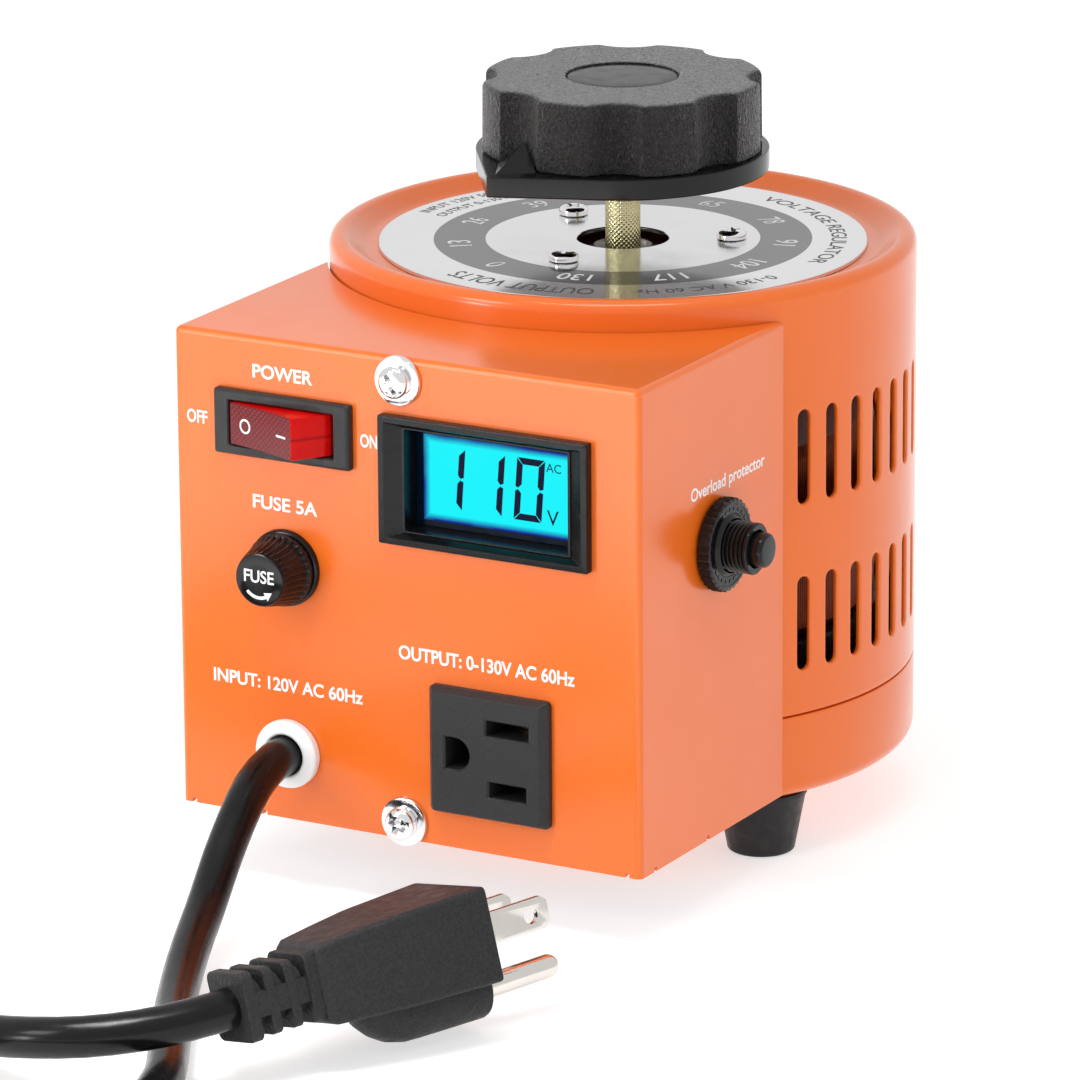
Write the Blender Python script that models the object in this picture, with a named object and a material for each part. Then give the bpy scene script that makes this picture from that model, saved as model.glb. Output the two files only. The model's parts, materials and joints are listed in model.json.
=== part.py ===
"""Bench variable autotransformer: drum with a slotted shell, control box on its front, knob on top.

Built around the drum's own axis, floor at z = 0, control panel facing -Y. Every piece hangs
from one empty, which sets that axis where the overall bounding box is centred on the origin.
Sizes are in millimetres until they are handed to Blender.
"""
import math

import bmesh
import bpy
from mathutils import Euler, Matrix, Vector

MM = 0.001

# where the drum's axis stands in the shared frame
AXIS_X, AXIS_Y = -1.8, 20.1

# control box, folded from sheet
BOX_HALF_W = 53.0
BOX_FRONT = 90.0
BOX_Z0, BOX_Z1 = 15.0, 114.8
SHEET = 1.2
BEND_R = 1.3

# drum
DRUM_R = 60.5
WALL = 1.2
PAN_Z0, SEAM_Z, SHELL_Z0 = 13.7, 31.1, 31.4
LEDGE_Z = 118.1
DIAL_Z0, DIAL_Z1, DIAL_R, DIAL_HOLE_R = 118.2, 119.0, 50.4, 9.5
FIT_GAP = 0.4

# ventilation slots
SLOT_PITCH, SLOT_COUNT, SLOT_W, SLOT_L = 7.14, 33, 3.1, 19.8
SLOT_ROWS = (85.5, 50.5)

# shaft and knob
SHAFT_R, BUSH_R, BUSH_OD = 3.65, 3.72, 6.0
SKIRT_Z0, SKIRT_Z1, SKIRT_R = 134.1, 138.5, 30.2
TIP_R, TIP_ANGLE = 38.5, -107.0
KNOB_Z0, KNOB_Z1, KNOB_R = 138.7, 153.4, 29.2
LOBES, SCALLOP_ANGLE, SCALLOP_R, SCALLOP_D = 8, -109.0, 8.0, 34.3
POCKET_R, POCKET_Z = 11.6, 151.7

# dial screws stand on one circle, a little off square like the scale they hold
DIAL_SCREW_R, DIAL_SCREW_ANGLES = 22.4, (-94.0, 26.0, 146.0)

# transformer
COIL_RI, COIL_RO, COIL_Z0, COIL_Z1 = 21.0, 52.0, 44.0, 84.0
COIL_WALL, COIL_GAP_CENTRE, COIL_GAP = 3.2, -90.5, 26.0

# front panel fittings: x, z
SWITCH_AT = (-27.2, 97.0)
ROCKER_PIVOT, ROCKER_TILT = -4.0, 17.5
METER_AT = (18.7, 89.9)
LCD_OUT = -3.6
FUSE_AT = (-27.6, 68.0)
GROMMET_AT = (-27.4, 29.1)
OUTLET_AT = (19.5, 35.7)
SCREW_TOP_AT = (-0.9, 110.1)
SCREW_LOW_AT = (-0.6, 18.8)
# side panel fitting: y, z
BREAKER_AT = (-58.2, 75.9)

# feet: x, y
FEET = {"foot_right": (43.9, -21.9), "foot_left": (-43.9, -21.9), "foot_back": (0.0, 49.0)}

# mains lead
CORD_R = 4.0
COIL_AT, COIL_MID_R, COIL_HALF_W, COIL_H = (-85.0, -230.0), 44.0, 8.5, 17.0
PLUG_TURN = Euler((math.radians(-14), math.radians(-4.4), math.radians(65)), "XYZ")
PLUG_AT = (19.8, -190.4, 14.8)


# ---------------------------------------------------------------- helpers
def clear_file():
    for obj in list(bpy.data.objects):
        bpy.data.objects.remove(obj, do_unlink=True)


def material(name, colour, rough=0.5, metal=0.0):
    mat = bpy.data.materials.get(name) or bpy.data.materials.new(name)
    mat.use_nodes = True
    node = mat.node_tree.nodes["Principled BSDF"]
    node.inputs["Base Color"].default_value = (*colour, 1.0)
    node.inputs["Roughness"].default_value = rough
    node.inputs["Metallic"].default_value = metal
    return mat


def add(name, bm, mat, smooth=None):
    """Turn a bmesh in millimetres into a named object hung on the assembly's empty."""
    bmesh.ops.recalc_face_normals(bm, faces=bm.faces)
    bmesh.ops.scale(bm, vec=(MM, MM, MM), verts=bm.verts)
    mesh = bpy.data.meshes.new(name)
    bm.to_mesh(mesh)
    bm.free()
    obj = bpy.data.objects.new(name, mesh)
    bpy.context.scene.collection.objects.link(obj)
    obj.parent = ROOT
    if mat:
        mesh.materials.append(mat)
    if smooth is not None:
        mesh.shade_smooth()
        mesh.set_sharp_from_angle(angle=math.radians(smooth))
    return obj


def polar(r, degrees):
    a = math.radians(degrees)
    return r * math.cos(a), r * math.sin(a)


def ring_mesh(profile, segments):
    """Closed solid turned about Z from a closed (r, z) profile; points on the axis are merged."""
    bm = bmesh.new()
    rings = []
    for r, z in profile:
        if r < 1e-6:
            rings.append([bm.verts.new((0, 0, z))])
        else:
            rings.append([bm.verts.new((*polar(r, 360 * k / segments), z)) for k in range(segments)])
    for one, two in zip(rings, rings[1:] + rings[:1]):
        if len(one) == 1 and len(two) == 1:
            continue
        for k in range(segments):
            n = (k + 1) % segments
            if len(one) == 1:
                bm.faces.new((one[0], two[n], two[k]))
            elif len(two) == 1:
                bm.faces.new((one[k], one[n], two[0]))
            else:
                bm.faces.new((one[k], one[n], two[n], two[k]))
    return bm


def lathe(name, profile, segments, mat, at=(0, 0, 0), turn=(0, 0, 0)):
    obj = add(name, ring_mesh(profile, segments), mat, smooth=35)
    place(obj, at, turn)
    return obj


def place(obj, at, turn=(0, 0, 0)):
    obj.location = Vector(at) * MM
    obj.rotation_euler = turn


def block_mesh(x, y, z):
    bm = bmesh.new()
    bmesh.ops.create_cube(bm, size=1.0)
    size = (x[1] - x[0], y[1] - y[0], z[1] - z[0])
    mid = ((x[0] + x[1]) / 2, (y[0] + y[1]) / 2, (z[0] + z[1]) / 2)
    bmesh.ops.scale(bm, vec=size, verts=bm.verts)
    bmesh.ops.translate(bm, vec=mid, verts=bm.verts)
    return bm


def block(name, x, y, z, mat, bevel=0.0, at=(0, 0, 0), turn=(0, 0, 0)):
    bm = block_mesh(x, y, z)
    if bevel:
        bmesh.ops.bevel(bm, geom=bm.edges, offset=bevel, segments=1, affect="EDGES", profile=0.5)
    obj = add(name, bm, mat)
    place(obj, at, turn)
    return obj


def prism_mesh(outline, z0, z1):
    bm = bmesh.new()
    low = [bm.verts.new((x, y, z0)) for x, y in outline]
    high = [bm.verts.new((x, y, z1)) for x, y in outline]
    bm.faces.new(low[::-1])
    bm.faces.new(high)
    for k in range(len(outline)):
        n = (k + 1) % len(outline)
        bm.faces.new((low[k], low[n], high[n], high[k]))
    return bm


def merged(parts):
    """One bmesh holding several bmeshes."""
    whole = bmesh.new()
    for part in parts:
        mesh = bpy.data.meshes.new("part")
        bmesh.ops.recalc_face_normals(part, faces=part.faces)
        part.to_mesh(mesh)
        part.free()
        whole.from_mesh(mesh)
        bpy.data.meshes.remove(mesh)
    return whole


def cutter(name, bm, at=(0, 0, 0), turn=(0, 0, 0)):
    obj = add(name, bm, None)
    place(obj, at, turn)
    obj.hide_render = True
    obj.display_type = "WIRE"
    return obj


def boolean(target, tool, kind="DIFFERENCE"):
    """Apply the Boolean straight away, so that only finished pieces stay in the file."""
    mod = target.modifiers.new(kind.lower(), "BOOLEAN")
    mod.operation = kind
    mod.solver = "EXACT"
    mod.object = tool
    bpy.context.view_layer.update()
    graph = bpy.context.evaluated_depsgraph_get()
    mesh = bpy.data.meshes.new_from_object(target.evaluated_get(graph))
    old = target.data
    name = old.name
    target.modifiers.clear()
    target.data = mesh
    bpy.data.meshes.remove(old)
    mesh.name = name
    bpy.data.objects.remove(tool, do_unlink=True)


def cut(target, bm, at=(0, 0, 0), turn=(0, 0, 0)):
    boolean(target, cutter("cut", bm, at, turn))


def rod_mesh(x, y, r, z0, z1, segments=16):
    bm = ring_mesh([(0, z0), (r, z0), (r, z1), (0, z1)], segments)
    bmesh.ops.translate(bm, vec=(x, y, 0), verts=bm.verts)
    return bm


def tube(name, points, radius, mat, sides=3):
    """A cord: one swept tube with flat ends."""
    curve = bpy.data.curves.new(name, "CURVE")
    curve.dimensions = "3D"
    curve.bevel_depth = radius * MM
    curve.bevel_resolution = sides
    curve.use_fill_caps = True
    line = curve.splines.new("POLY")
    line.points.add(len(points) - 1)
    for k, point in enumerate(points):
        line.points[k].co = (*(Vector(point) * MM), 1.0)
    obj = bpy.data.objects.new(name, curve)
    bpy.context.scene.collection.objects.link(obj)
    obj.parent = ROOT
    curve.materials.append(mat)
    return obj


def smooth_route(knots, spacing):
    """Catmull-Rom curve through the knots, resampled at even spacing."""
    pts = [Vector(k) for k in knots]
    ends = [2 * pts[0] - pts[1]] + pts + [2 * pts[-1] - pts[-2]]
    fine = []
    for k in range(1, len(ends) - 2):
        a, b, c, d = ends[k - 1:k + 3]
        for s in range(24):
            t = s / 24
            fine.append(0.5 * (2 * b + (c - a) * t + (2 * a - 5 * b + 4 * c - d) * t * t
                               + (3 * b - a - 3 * c + d) * t ** 3))
    fine.append(pts[-1])
    total = sum((q - p).length for p, q in zip(fine, fine[1:]))
    steps = max(2, round(total / spacing))
    out, travelled, index = [fine[0]], 0.0, 0
    for k in range(1, steps):
        want = total * k / steps
        while index < len(fine) - 2 and travelled + (fine[index + 1] - fine[index]).length < want:
            travelled += (fine[index + 1] - fine[index]).length
            index += 1
        span = (fine[index + 1] - fine[index]).length
        out.append(fine[index].lerp(fine[index + 1], (want - travelled) / span))
    out.append(fine[-1])
    return out


FRONT = (math.pi / 2, 0, 0)    # local x, y, z become world x, z, and out of the panel


def on_front(at):
    return (at[0], -BOX_FRONT, at[1])


# ---------------------------------------------------------------- drum
def drum_shell():
    top = LEDGE_Z
    shoulder = [(DRUM_R, top + 0.4)]
    for a in (30, 60, 90, 120):
        x, z = polar(2.5, a)
        shoulder.append((DRUM_R - 2.5 + x, top + 0.4 + z))
    outer = [(DRUM_R, SHELL_Z0)] + shoulder + [(53.6, top + 0.5), (52.2, top), (14.0, top)]
    inner = [(14.0, top - WALL), (57.6, top - WALL), (DRUM_R - WALL, top - 2.6),
             (DRUM_R - WALL, SHELL_Z0)]
    shell = add("drum_shell", ring_mesh(outer + inner, 72), ORANGE, smooth=35)
    slots = []
    half = SLOT_L / 2 - SLOT_W / 2
    first = 90 - SLOT_PITCH * (SLOT_COUNT - 1) / 2
    for row in SLOT_ROWS:
        for k in range(SLOT_COUNT):
            ends = []
            for centre, start in ((half, 0), (-half, 180)):
                for a in range(start, start + 181, 60):
                    x, y = polar(SLOT_W / 2, a)
                    ends.append((x, centre + y))
            bm = prism_mesh(ends, DRUM_R - 4, DRUM_R + 3)
            spin = Matrix.Rotation(math.radians(first + k * SLOT_PITCH), 4, "Z")
            tip = Matrix.Rotation(math.pi / 2, 4, "Z") @ Matrix.Rotation(math.pi / 2, 4, "X")
            bm.transform(Matrix.Translation((0, 0, row)) @ spin @ tip)
            slots.append(bm)
    slots.append(block_mesh((-16, 16), (-DRUM_R - 3, -DRUM_R + 12), (52, 92)))
    for angle in DIAL_SCREW_ANGLES:
        slots.append(rod_mesh(*polar(DIAL_SCREW_R, angle), 1.8, top - 4, top + 3))
    cut(shell, merged(slots))
    shell.data.shade_smooth()
    shell.data.set_sharp_from_angle(angle=math.radians(35))


def base_pan():
    z = PAN_Z0
    outer = [(0, z), (57.6, z), (59.8, z + 1.0), (DRUM_R, z + 3.2),
             (DRUM_R, SEAM_Z), (DRUM_R - 1.6, SEAM_Z), (DRUM_R - 1.6, SEAM_Z + 5)]
    inner = [(DRUM_R - 2.8, SEAM_Z + 5), (DRUM_R - 2.8, z + 2.4), (DRUM_R - 4.2, z + WALL),
             (0, z + WALL)]
    lathe("base_pan", outer + inner, 72, ORANGE)


def dial():
    outline = [(DIAL_HOLE_R, DIAL_Z0), (DIAL_R, DIAL_Z0), (DIAL_R, DIAL_Z1), (DIAL_HOLE_R, DIAL_Z1)]
    plate = add("dial_plate", ring_mesh(outline, 60), ALUMINIUM, smooth=35)
    cut(plate, merged([rod_mesh(*polar(DIAL_SCREW_R, a), 1.8, DIAL_Z0 - 2, DIAL_Z1 + 2)
                       for a in DIAL_SCREW_ANGLES]))
    for k, angle in enumerate(DIAL_SCREW_ANGLES):
        x, y = polar(DIAL_SCREW_R, angle)
        pan_screw(f"dial_screw_{k + 1}", 3.1, 1.9, 1.35, 9.0, (x, y, DIAL_Z1 + 0.1), (0, 0, 0.4 * k))


def pan_screw(name, head_r, head_h, shank_r, length, at, turn):
    """Cross-recess pan-head screw: its seat is at local z = 0, the shank runs down -Z."""
    profile = [(0, -length), (shank_r, -length), (shank_r, 0), (head_r, 0), (head_r, head_h * 0.35),
               (head_r * 0.86, head_h * 0.75), (head_r * 0.55, head_h), (0, head_h)]
    obj = add(name, ring_mesh(profile, 16), STEEL, smooth=35)
    arm, wide = head_r * 0.62, head_r * 0.16
    cross = [(arm, -wide), (arm, wide), (wide, wide), (wide, arm), (-wide, arm), (-wide, wide),
             (-arm, wide), (-arm, -wide), (-wide, -wide), (-wide, -arm), (wide, -arm), (wide, -wide)]
    cut(obj, prism_mesh(cross, head_h * 0.45, head_h + 1))
    place(obj, at, turn)


def feet():
    for name, (x, y) in FEET.items():
        lathe(name, [(0, 0), (6.4, 0), (7.0, 0.7), (9.6, PAN_Z0 - 0.1), (0, PAN_Z0 - 0.1)], 32, RUBBER,
              at=(x, y, 0))


# ---------------------------------------------------------------- transformer inside
def transformer():
    lathe("coil_seat", [(30, 15.2), (53, 15.2), (53, 22), (47, 24), (47, 36), (53, 38),
                        (53, COIL_Z0 - 0.3), (30, COIL_Z0 - 0.3)], 48, BLACK)
    w = COIL_WALL
    a0 = COIL_GAP_CENTRE + COIL_GAP / 2
    sweep, steps = 360 - COIL_GAP, 48
    outer = [(COIL_RI, COIL_Z0 + 2), (COIL_RI + 2, COIL_Z0), (COIL_RO - 2, COIL_Z0),
             (COIL_RO, COIL_Z0 + 2), (COIL_RO, COIL_Z1 - 2), (COIL_RO - 2, COIL_Z1),
             (COIL_RI + 2, COIL_Z1), (COIL_RI, COIL_Z1 - 2)]
    hole = [(COIL_RI + w, COIL_Z0 + w), (COIL_RO - w, COIL_Z0 + w), (COIL_RO - w, COIL_Z1 - w),
            (COIL_RI + w, COIL_Z1 - w)]
    bm = bmesh.new()
    rows = []
    for k in range(steps + 1):
        a = a0 + sweep * k / steps
        rows.append(([bm.verts.new((*polar(r, a), z)) for r, z in outer],
                     [bm.verts.new((*polar(r, a), z)) for r, z in hole]))
    for one, two in zip(rows, rows[1:]):
        for loop in (0, 1):
            count = len(one[loop])
            for k in range(count):
                n = (k + 1) % count
                bm.faces.new((one[loop][k], one[loop][n], two[loop][n], two[loop][k]))
    for big, small in (rows[0], rows[-1]):
        for k in range(4):
            bm.faces.new((big[2 * k], big[2 * k + 1], small[k]))
            bm.faces.new((big[2 * k + 1], big[(2 * k + 2) % 8], small[(k + 1) % 4], small[k]))
    add("winding", bm, COPPER, smooth=35)
    lathe("toroid_core", [(COIL_RI + w + 0.3, COIL_Z0 + w + 0.3), (COIL_RO - w - 0.3, COIL_Z0 + w + 0.3),
                          (COIL_RO - w - 0.3, COIL_Z1 - w - 0.3), (COIL_RI + w + 0.3, COIL_Z1 - w - 0.3)],
          48, CORE)
    lathe("clamp_hub", [(BUSH_OD + 0.05, 15.3), (24, 15.3), (24, 18.3), (12, 18.3), (12, 84.3),
                        (27, 84.3), (27, 87.3), (BUSH_OD + 0.05, 87.3)], 32, CAST)
    lathe("low_bushing", [(BUSH_R, 62), (BUSH_OD, 62), (BUSH_OD, 87.5), (7.5, 87.5), (7.5, 88.6),
                          (BUSH_R, 88.6)], 24, BRASS)
    lathe("slip_ring", [(14, 87.5), (20, 87.5), (20, 89.2), (14, 89.2)], 32, BRASS)


def shaft_and_arm():
    lathe("shaft", [(0, 40), (SHAFT_R - 0.4, 40), (SHAFT_R, 40.4), (SHAFT_R, 148.2), (0, 148.2)], 24, ZINC)
    lathe("top_bushing", [(BUSH_R, 104.3), (7.6, 104.3), (7.6, 105.4), (BUSH_OD, 105.4), (BUSH_OD, 117.6),
                          (BUSH_R, 117.6)], 24, BRASS)
    flange = add("bearing_flange", ring_mesh([(BUSH_OD + 0.05, 105.6), (10, 105.6), (10, 112.6), (27, 112.6),
                                              (27, 116.7), (BUSH_OD + 0.05, 116.7)], 32), PHENOLIC, smooth=35)
    cut(flange, merged([rod_mesh(*polar(DIAL_SCREW_R, a), 1.5, 111, 118) for a in DIAL_SCREW_ANGLES]))
    x, y = polar(13.2, COIL_GAP_CENTRE)
    lathe("stop_post", [(0, 97.6), (1.9, 97.6), (2.2, 98.0), (2.2, 112.4), (0, 112.4)], 20, STEEL,
          at=(x, y, 0))
    # arm: hub on the shaft, blade towards the winding, dog that meets the stop post
    arm = add("brush_arm", ring_mesh([(SHAFT_R + 0.1, 91), (8, 91), (8, 101.6), (SHAFT_R + 0.1, 101.6)], 32),
              ALUMINIUM, smooth=35)
    spin = math.radians(TIP_ANGLE)
    blade = block_mesh((7.2, 44.0), (-6, 6), (94, 96.4))
    dog = block_mesh((6.8, 15.0), (-1.2, 1.2), (98.4, 101.2))
    for shape in (blade, dog):
        boolean(arm, cutter("join", shape, turn=(0, 0, spin)), "UNION")
    cut(arm, block_mesh((34.8, 41.2), (-3.6, 3.6), (92, 99)), turn=(0, 0, spin))
    holder = block("brush_holder", (34.0, 42.0), (-4.4, 4.4), (86.4, 93.8), BRASS, turn=(0, 0, spin))
    cut(holder, block_mesh((35.2, 40.8), (-3.2, 3.2), (80, 99)), turn=(0, 0, spin))
    block("carbon_brush", (35.4, 40.6), (-3.0, 3.0), (COIL_Z1 + 0.15, 97.4), CARBON, bevel=0.3,
          turn=(0, 0, spin))


# ---------------------------------------------------------------- knob
def knob_outline(scale=0.0):
    """Eight lobes with a round scallop between each; scale pulls the outline in by that many mm."""
    pts = []
    d, s = SCALLOP_D, SCALLOP_R + scale * 0.5
    big = KNOB_R - scale
    half = math.degrees(math.acos((big * big + d * d - s * s) / (2 * big * d)))
    for k in range(LOBES):
        mid = SCALLOP_ANGLE + 45 * k
        for t in (-1.0, -0.6, -0.2, 0.2, 0.6, 1.0):
            a = half * t
            root = d * math.cos(math.radians(a)) - math.sqrt(s * s - (d * math.sin(math.radians(a))) ** 2)
            pts.append(polar(root, mid + a))
        rest = 45 - 2 * half
        for t in (0.33, 0.67):
            pts.append(polar(big, mid + half + rest * t))
    return pts


def knob():
    base = knob_outline()
    directions = [math.degrees(math.atan2(y, x)) for x, y in base]

    def circle(r):
        return [polar(r, a) for a in directions]

    layers = [(circle(SHAFT_R + 0.1), 148.6), (circle(SHAFT_R + 0.1), KNOB_Z0), (base, KNOB_Z0),
              (knob_outline(0.3), KNOB_Z1 - 1.1), (knob_outline(0.6), KNOB_Z1 - 0.4),
              (knob_outline(1.3), KNOB_Z1), (circle(POCKET_R), KNOB_Z1), (circle(POCKET_R), POCKET_Z)]
    bm = bmesh.new()
    rings = [[bm.verts.new((x, y, z)) for x, y in pts] for pts, z in layers]
    for one, two in zip(rings, rings[1:]):
        for k in range(len(base)):
            n = (k + 1) % len(base)
            bm.faces.new((one[k], one[n], two[n], two[k]))
    bm.faces.new(rings[0])
    bm.faces.new(rings[-1])
    body = add("knob_body", bm, BLACK, smooth=30)
    grub_at = math.radians(SCALLOP_ANGLE + 225)
    sideways = Matrix.Rotation(math.pi / 2, 4, "Y")
    hole = rod_mesh(0, 0, 1.9, 3.0, 32)
    hole.transform(sideways)
    cut(body, hole, at=(0, 0, 144), turn=(0, 0, grub_at))
    grub = rod_mesh(0, 0, 1.7, SHAFT_R + 0.1, 14, 14)
    grub.transform(sideways)
    screw = add("knob_grub_screw", grub, STEEL, smooth=35)
    place(screw, (0, 0, 144), (0, 0, grub_at))

    half = math.degrees(math.acos(SKIRT_R / TIP_R))
    outline = [polar(TIP_R, TIP_ANGLE)]
    sweep = 360 - 2 * half
    for k in range(45):
        outline.append(polar(SKIRT_R, TIP_ANGLE + half + sweep * k / 44))
    skirt = add("knob_skirt", prism_mesh(outline, SKIRT_Z0, SKIRT_Z1), GLOSS, smooth=35)
    bevel = skirt.modifiers.new("soft_edge", "BEVEL")
    bevel.width = 0.35 * MM
    bevel.segments = 1
    bevel.angle_limit = math.radians(60)
    wedge = bmesh.new()
    root = [polar(35.6, TIP_ANGLE), polar(29.5, SCALLOP_ANGLE + 11.3), polar(26.9, SCALLOP_ANGLE),
            polar(29.5, SCALLOP_ANGLE - 11.3)]
    low = [wedge.verts.new((x, y, SKIRT_Z0 + 2)) for x, y in root]
    mid = [wedge.verts.new((x, y, SKIRT_Z1)) for x, y in root]
    top = wedge.verts.new((*polar(26.9, SCALLOP_ANGLE), 143.6))
    wedge.faces.new(low)
    for k in range(4):
        wedge.faces.new((low[k], low[(k + 1) % 4], mid[(k + 1) % 4], mid[k]))
    wedge.faces.new((mid[0], mid[1], top))
    wedge.faces.new((mid[3], mid[0], top))
    wedge.faces.new((mid[1], mid[2], top))
    wedge.faces.new((mid[2], mid[3], top))
    boolean(skirt, cutter("join", wedge), "UNION")
    cut(skirt, rod_mesh(0, 0, SHAFT_R + 0.1, SKIRT_Z0 - 2, SKIRT_Z1 + 2, 32))
    lathe("knob_cap", [(0, POCKET_Z + 0.1), (POCKET_R - 0.2, POCKET_Z + 0.1), (POCKET_R - 0.2, KNOB_Z1 - 0.5),
                       (POCKET_R - 0.7, KNOB_Z1 - 0.25), (0, KNOB_Z1 - 0.25)], 32, GLOSS)


# ---------------------------------------------------------------- control box
def control_box():
    w, f = BOX_HALF_W, BOX_FRONT
    bm = block_mesh((-w, w), (-f, -20), (BOX_Z0, BOX_Z1))
    edges = []
    for e in bm.edges:
        a, b = (v.co for v in e.verts)
        upright = abs(a.z - b.z) > 1 and a.y < -f + 1
        top = a.z > BOX_Z1 - 1 and b.z > BOX_Z1 - 1 and not (a.y > -30 and b.y > -30)
        if upright or top:
            edges.append(e)
    bmesh.ops.bevel(bm, geom=edges, offset=BEND_R, segments=3, affect="EDGES", profile=0.5)
    box = add("front_box", bm, ORANGE, smooth=35)
    cut(box, block_mesh((-w + SHEET, w - SHEET), (-f + SHEET, 5), (BOX_Z0 - 5, BOX_Z1 - SHEET)))
    cut(box, ring_mesh([(0, 5), (DRUM_R + FIT_GAP, 5), (DRUM_R + FIT_GAP, 125), (0, 125)], 96))
    holes = []
    for (x, z), hx, hz in ((SWITCH_AT, 13.7, 6.0), (METER_AT, 22.3, 12.3), (OUTLET_AT, 12.4, 11.9)):
        holes.append(block_mesh((x - hx, x + hx), (-f - 3, -f + 3), (z - hz, z + hz)))
    for (x, z), r in ((FUSE_AT, 6.3), (GROMMET_AT, 6.0), (SCREW_TOP_AT, 2.4), (SCREW_LOW_AT, 2.4)):
        hole = rod_mesh(0, 0, r, -3, 3, 24)
        hole.transform(Matrix.Translation((x, -f, z)) @ Matrix.Rotation(math.pi / 2, 4, "X"))
        holes.append(hole)
    y, z = BREAKER_AT
    hole = rod_mesh(0, 0, 5.6, -3, 3, 24)
    hole.transform(Matrix.Translation((w, y, z)) @ Matrix.Rotation(math.pi / 2, 4, "Y"))
    holes.append(hole)
    cut(box, merged(holes))
    box.data.shade_smooth()
    box.data.set_sharp_from_angle(angle=math.radians(35))

    floor = block("box_floor", (-w + 1.4, w - 1.4), (-f + 1.5, -20), (BOX_Z0 + 0.2, BOX_Z0 + 1.4), STEEL)
    lip = block_mesh((-12, 6), (-f + 1.5, -f + 2.7), (BOX_Z0 + 0.2, BOX_Z0 + 12))
    boolean(floor, cutter("join", lip), "UNION")
    cut(floor, ring_mesh([(0, 5), (DRUM_R + FIT_GAP, 5), (DRUM_R + FIT_GAP, 125), (0, 125)], 96))
    x, z = SCREW_LOW_AT
    hole = rod_mesh(0, 0, 1.8, -12, 3, 20)
    hole.transform(Matrix.Translation((x, -f, z)) @ Matrix.Rotation(math.pi / 2, 4, "X"))
    cut(floor, hole)

    x, z = SCREW_TOP_AT
    tab = block("top_bracket", (x - 12, x + 12), (-f + 1.5, -f + 2.7), (z - 8, BOX_Z1 - SHEET - 0.2), STEEL)
    top = BOX_Z1 - SHEET - 0.2
    leg = block_mesh((x - 12, x + 12), (-f + 1.5, -DRUM_R - 3.0), (top - 1.2, top))
    boolean(tab, cutter("join", leg), "UNION")
    hole = rod_mesh(0, 0, 1.8, -12, 3, 20)
    hole.transform(Matrix.Translation((x, -f, z)) @ Matrix.Rotation(math.pi / 2, 4, "X"))
    cut(tab, hole)

    for tag, (x, z) in (("top", SCREW_TOP_AT), ("low", SCREW_LOW_AT)):
        lathe(f"front_washer_{tag}", [(2.2, 0.1), (5.1, 0.1), (5.1, 0.9), (4.9, 1.1), (2.2, 1.1)], 24, STEEL,
              at=(x, -f, z), turn=FRONT)
        pan_screw(f"front_screw_{tag}", 3.3, 2.5, 1.6, 7.5, (x, -f - 1.2, z), (math.pi / 2, 0, 0))


def power_switch():
    x, z = SWITCH_AT
    frame = prism_mesh([(-15.65, -6.7), (15.65, -6.7), (15.65, 6.7), (-15.65, 6.7)], 0.1, 1.2)
    housing = add("switch_housing", frame, BLACK)
    rim = bmesh.new()
    low = [rim.verts.new((sx * 15.65, sy * 6.7, 1.0)) for sx, sy in ((-1, -1), (1, -1), (1, 1), (-1, 1))]
    high = [rim.verts.new((sx * 14.75, sy * 5.8, 2.1)) for sx, sy in ((-1, -1), (1, -1), (1, 1), (-1, 1))]
    rim.faces.new(low[::-1])
    rim.faces.new(high)
    for k in range(4):
        n = (k + 1) % 4
        rim.faces.new((low[k], low[n], high[n], high[k]))
    place(housing, on_front(SWITCH_AT), FRONT)
    boolean(housing, cutter("join", rim, on_front(SWITCH_AT), FRONT), "UNION")
    back = block_mesh((-13.4, 13.4), (-5.7, 5.7), (-19, 0.6))
    boolean(housing, cutter("join", back, on_front(SWITCH_AT), FRONT), "UNION")
    cut(housing, block_mesh((-12.1, 12.1), (-4.6, 4.6), (-14, 6)), on_front(SWITCH_AT), FRONT)

    # paddle: symmetrical rocker section, stored tipped over with its OFF side pressed
    spin = Matrix.Rotation(math.radians(ROCKER_TILT), 2)
    half = [(9.0, 9.5), (12.0, 0.0), (9.6, -4.0), (4.0, -6.0)]
    section = [(0, 9.1)] + half + [(-a, b) for a, b in reversed(half)]
    paddle = prism_mesh([spin @ Vector(point) for point in section], -4.3, 4.3)
    # section x stays x, section height becomes out of the panel, prism height becomes z
    paddle.transform(Matrix(((1, 0, 0, 0), (0, -1, 0, 0), (0, 0, 1, 0), (0, 0, 0, 1))))
    rocker = add("switch_rocker", paddle, RED)
    place(rocker, (x, -BOX_FRONT - ROCKER_PIVOT, z))


def meter():
    at = on_front(METER_AT)
    bezel = block("meter_bezel", (-23.6, 23.6), (-13.15, 13.15), (0.1, 2.1), BLACK, bevel=0.3, at=at,
                  turn=FRONT)
    boolean(bezel, cutter("join", block_mesh((-22, 22), (-12, 12), (-12, 1)), at, FRONT), "UNION")
    cut(bezel, block_mesh((-18.4, 18.4), (-10.4, 10.4), (LCD_OUT - 1.6, 5)), at, FRONT)
    block("meter_display", (-17.9, 17.9), (-9.9, 9.9), (LCD_OUT - 1.5, LCD_OUT), LCD, at=at, turn=FRONT)


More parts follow.
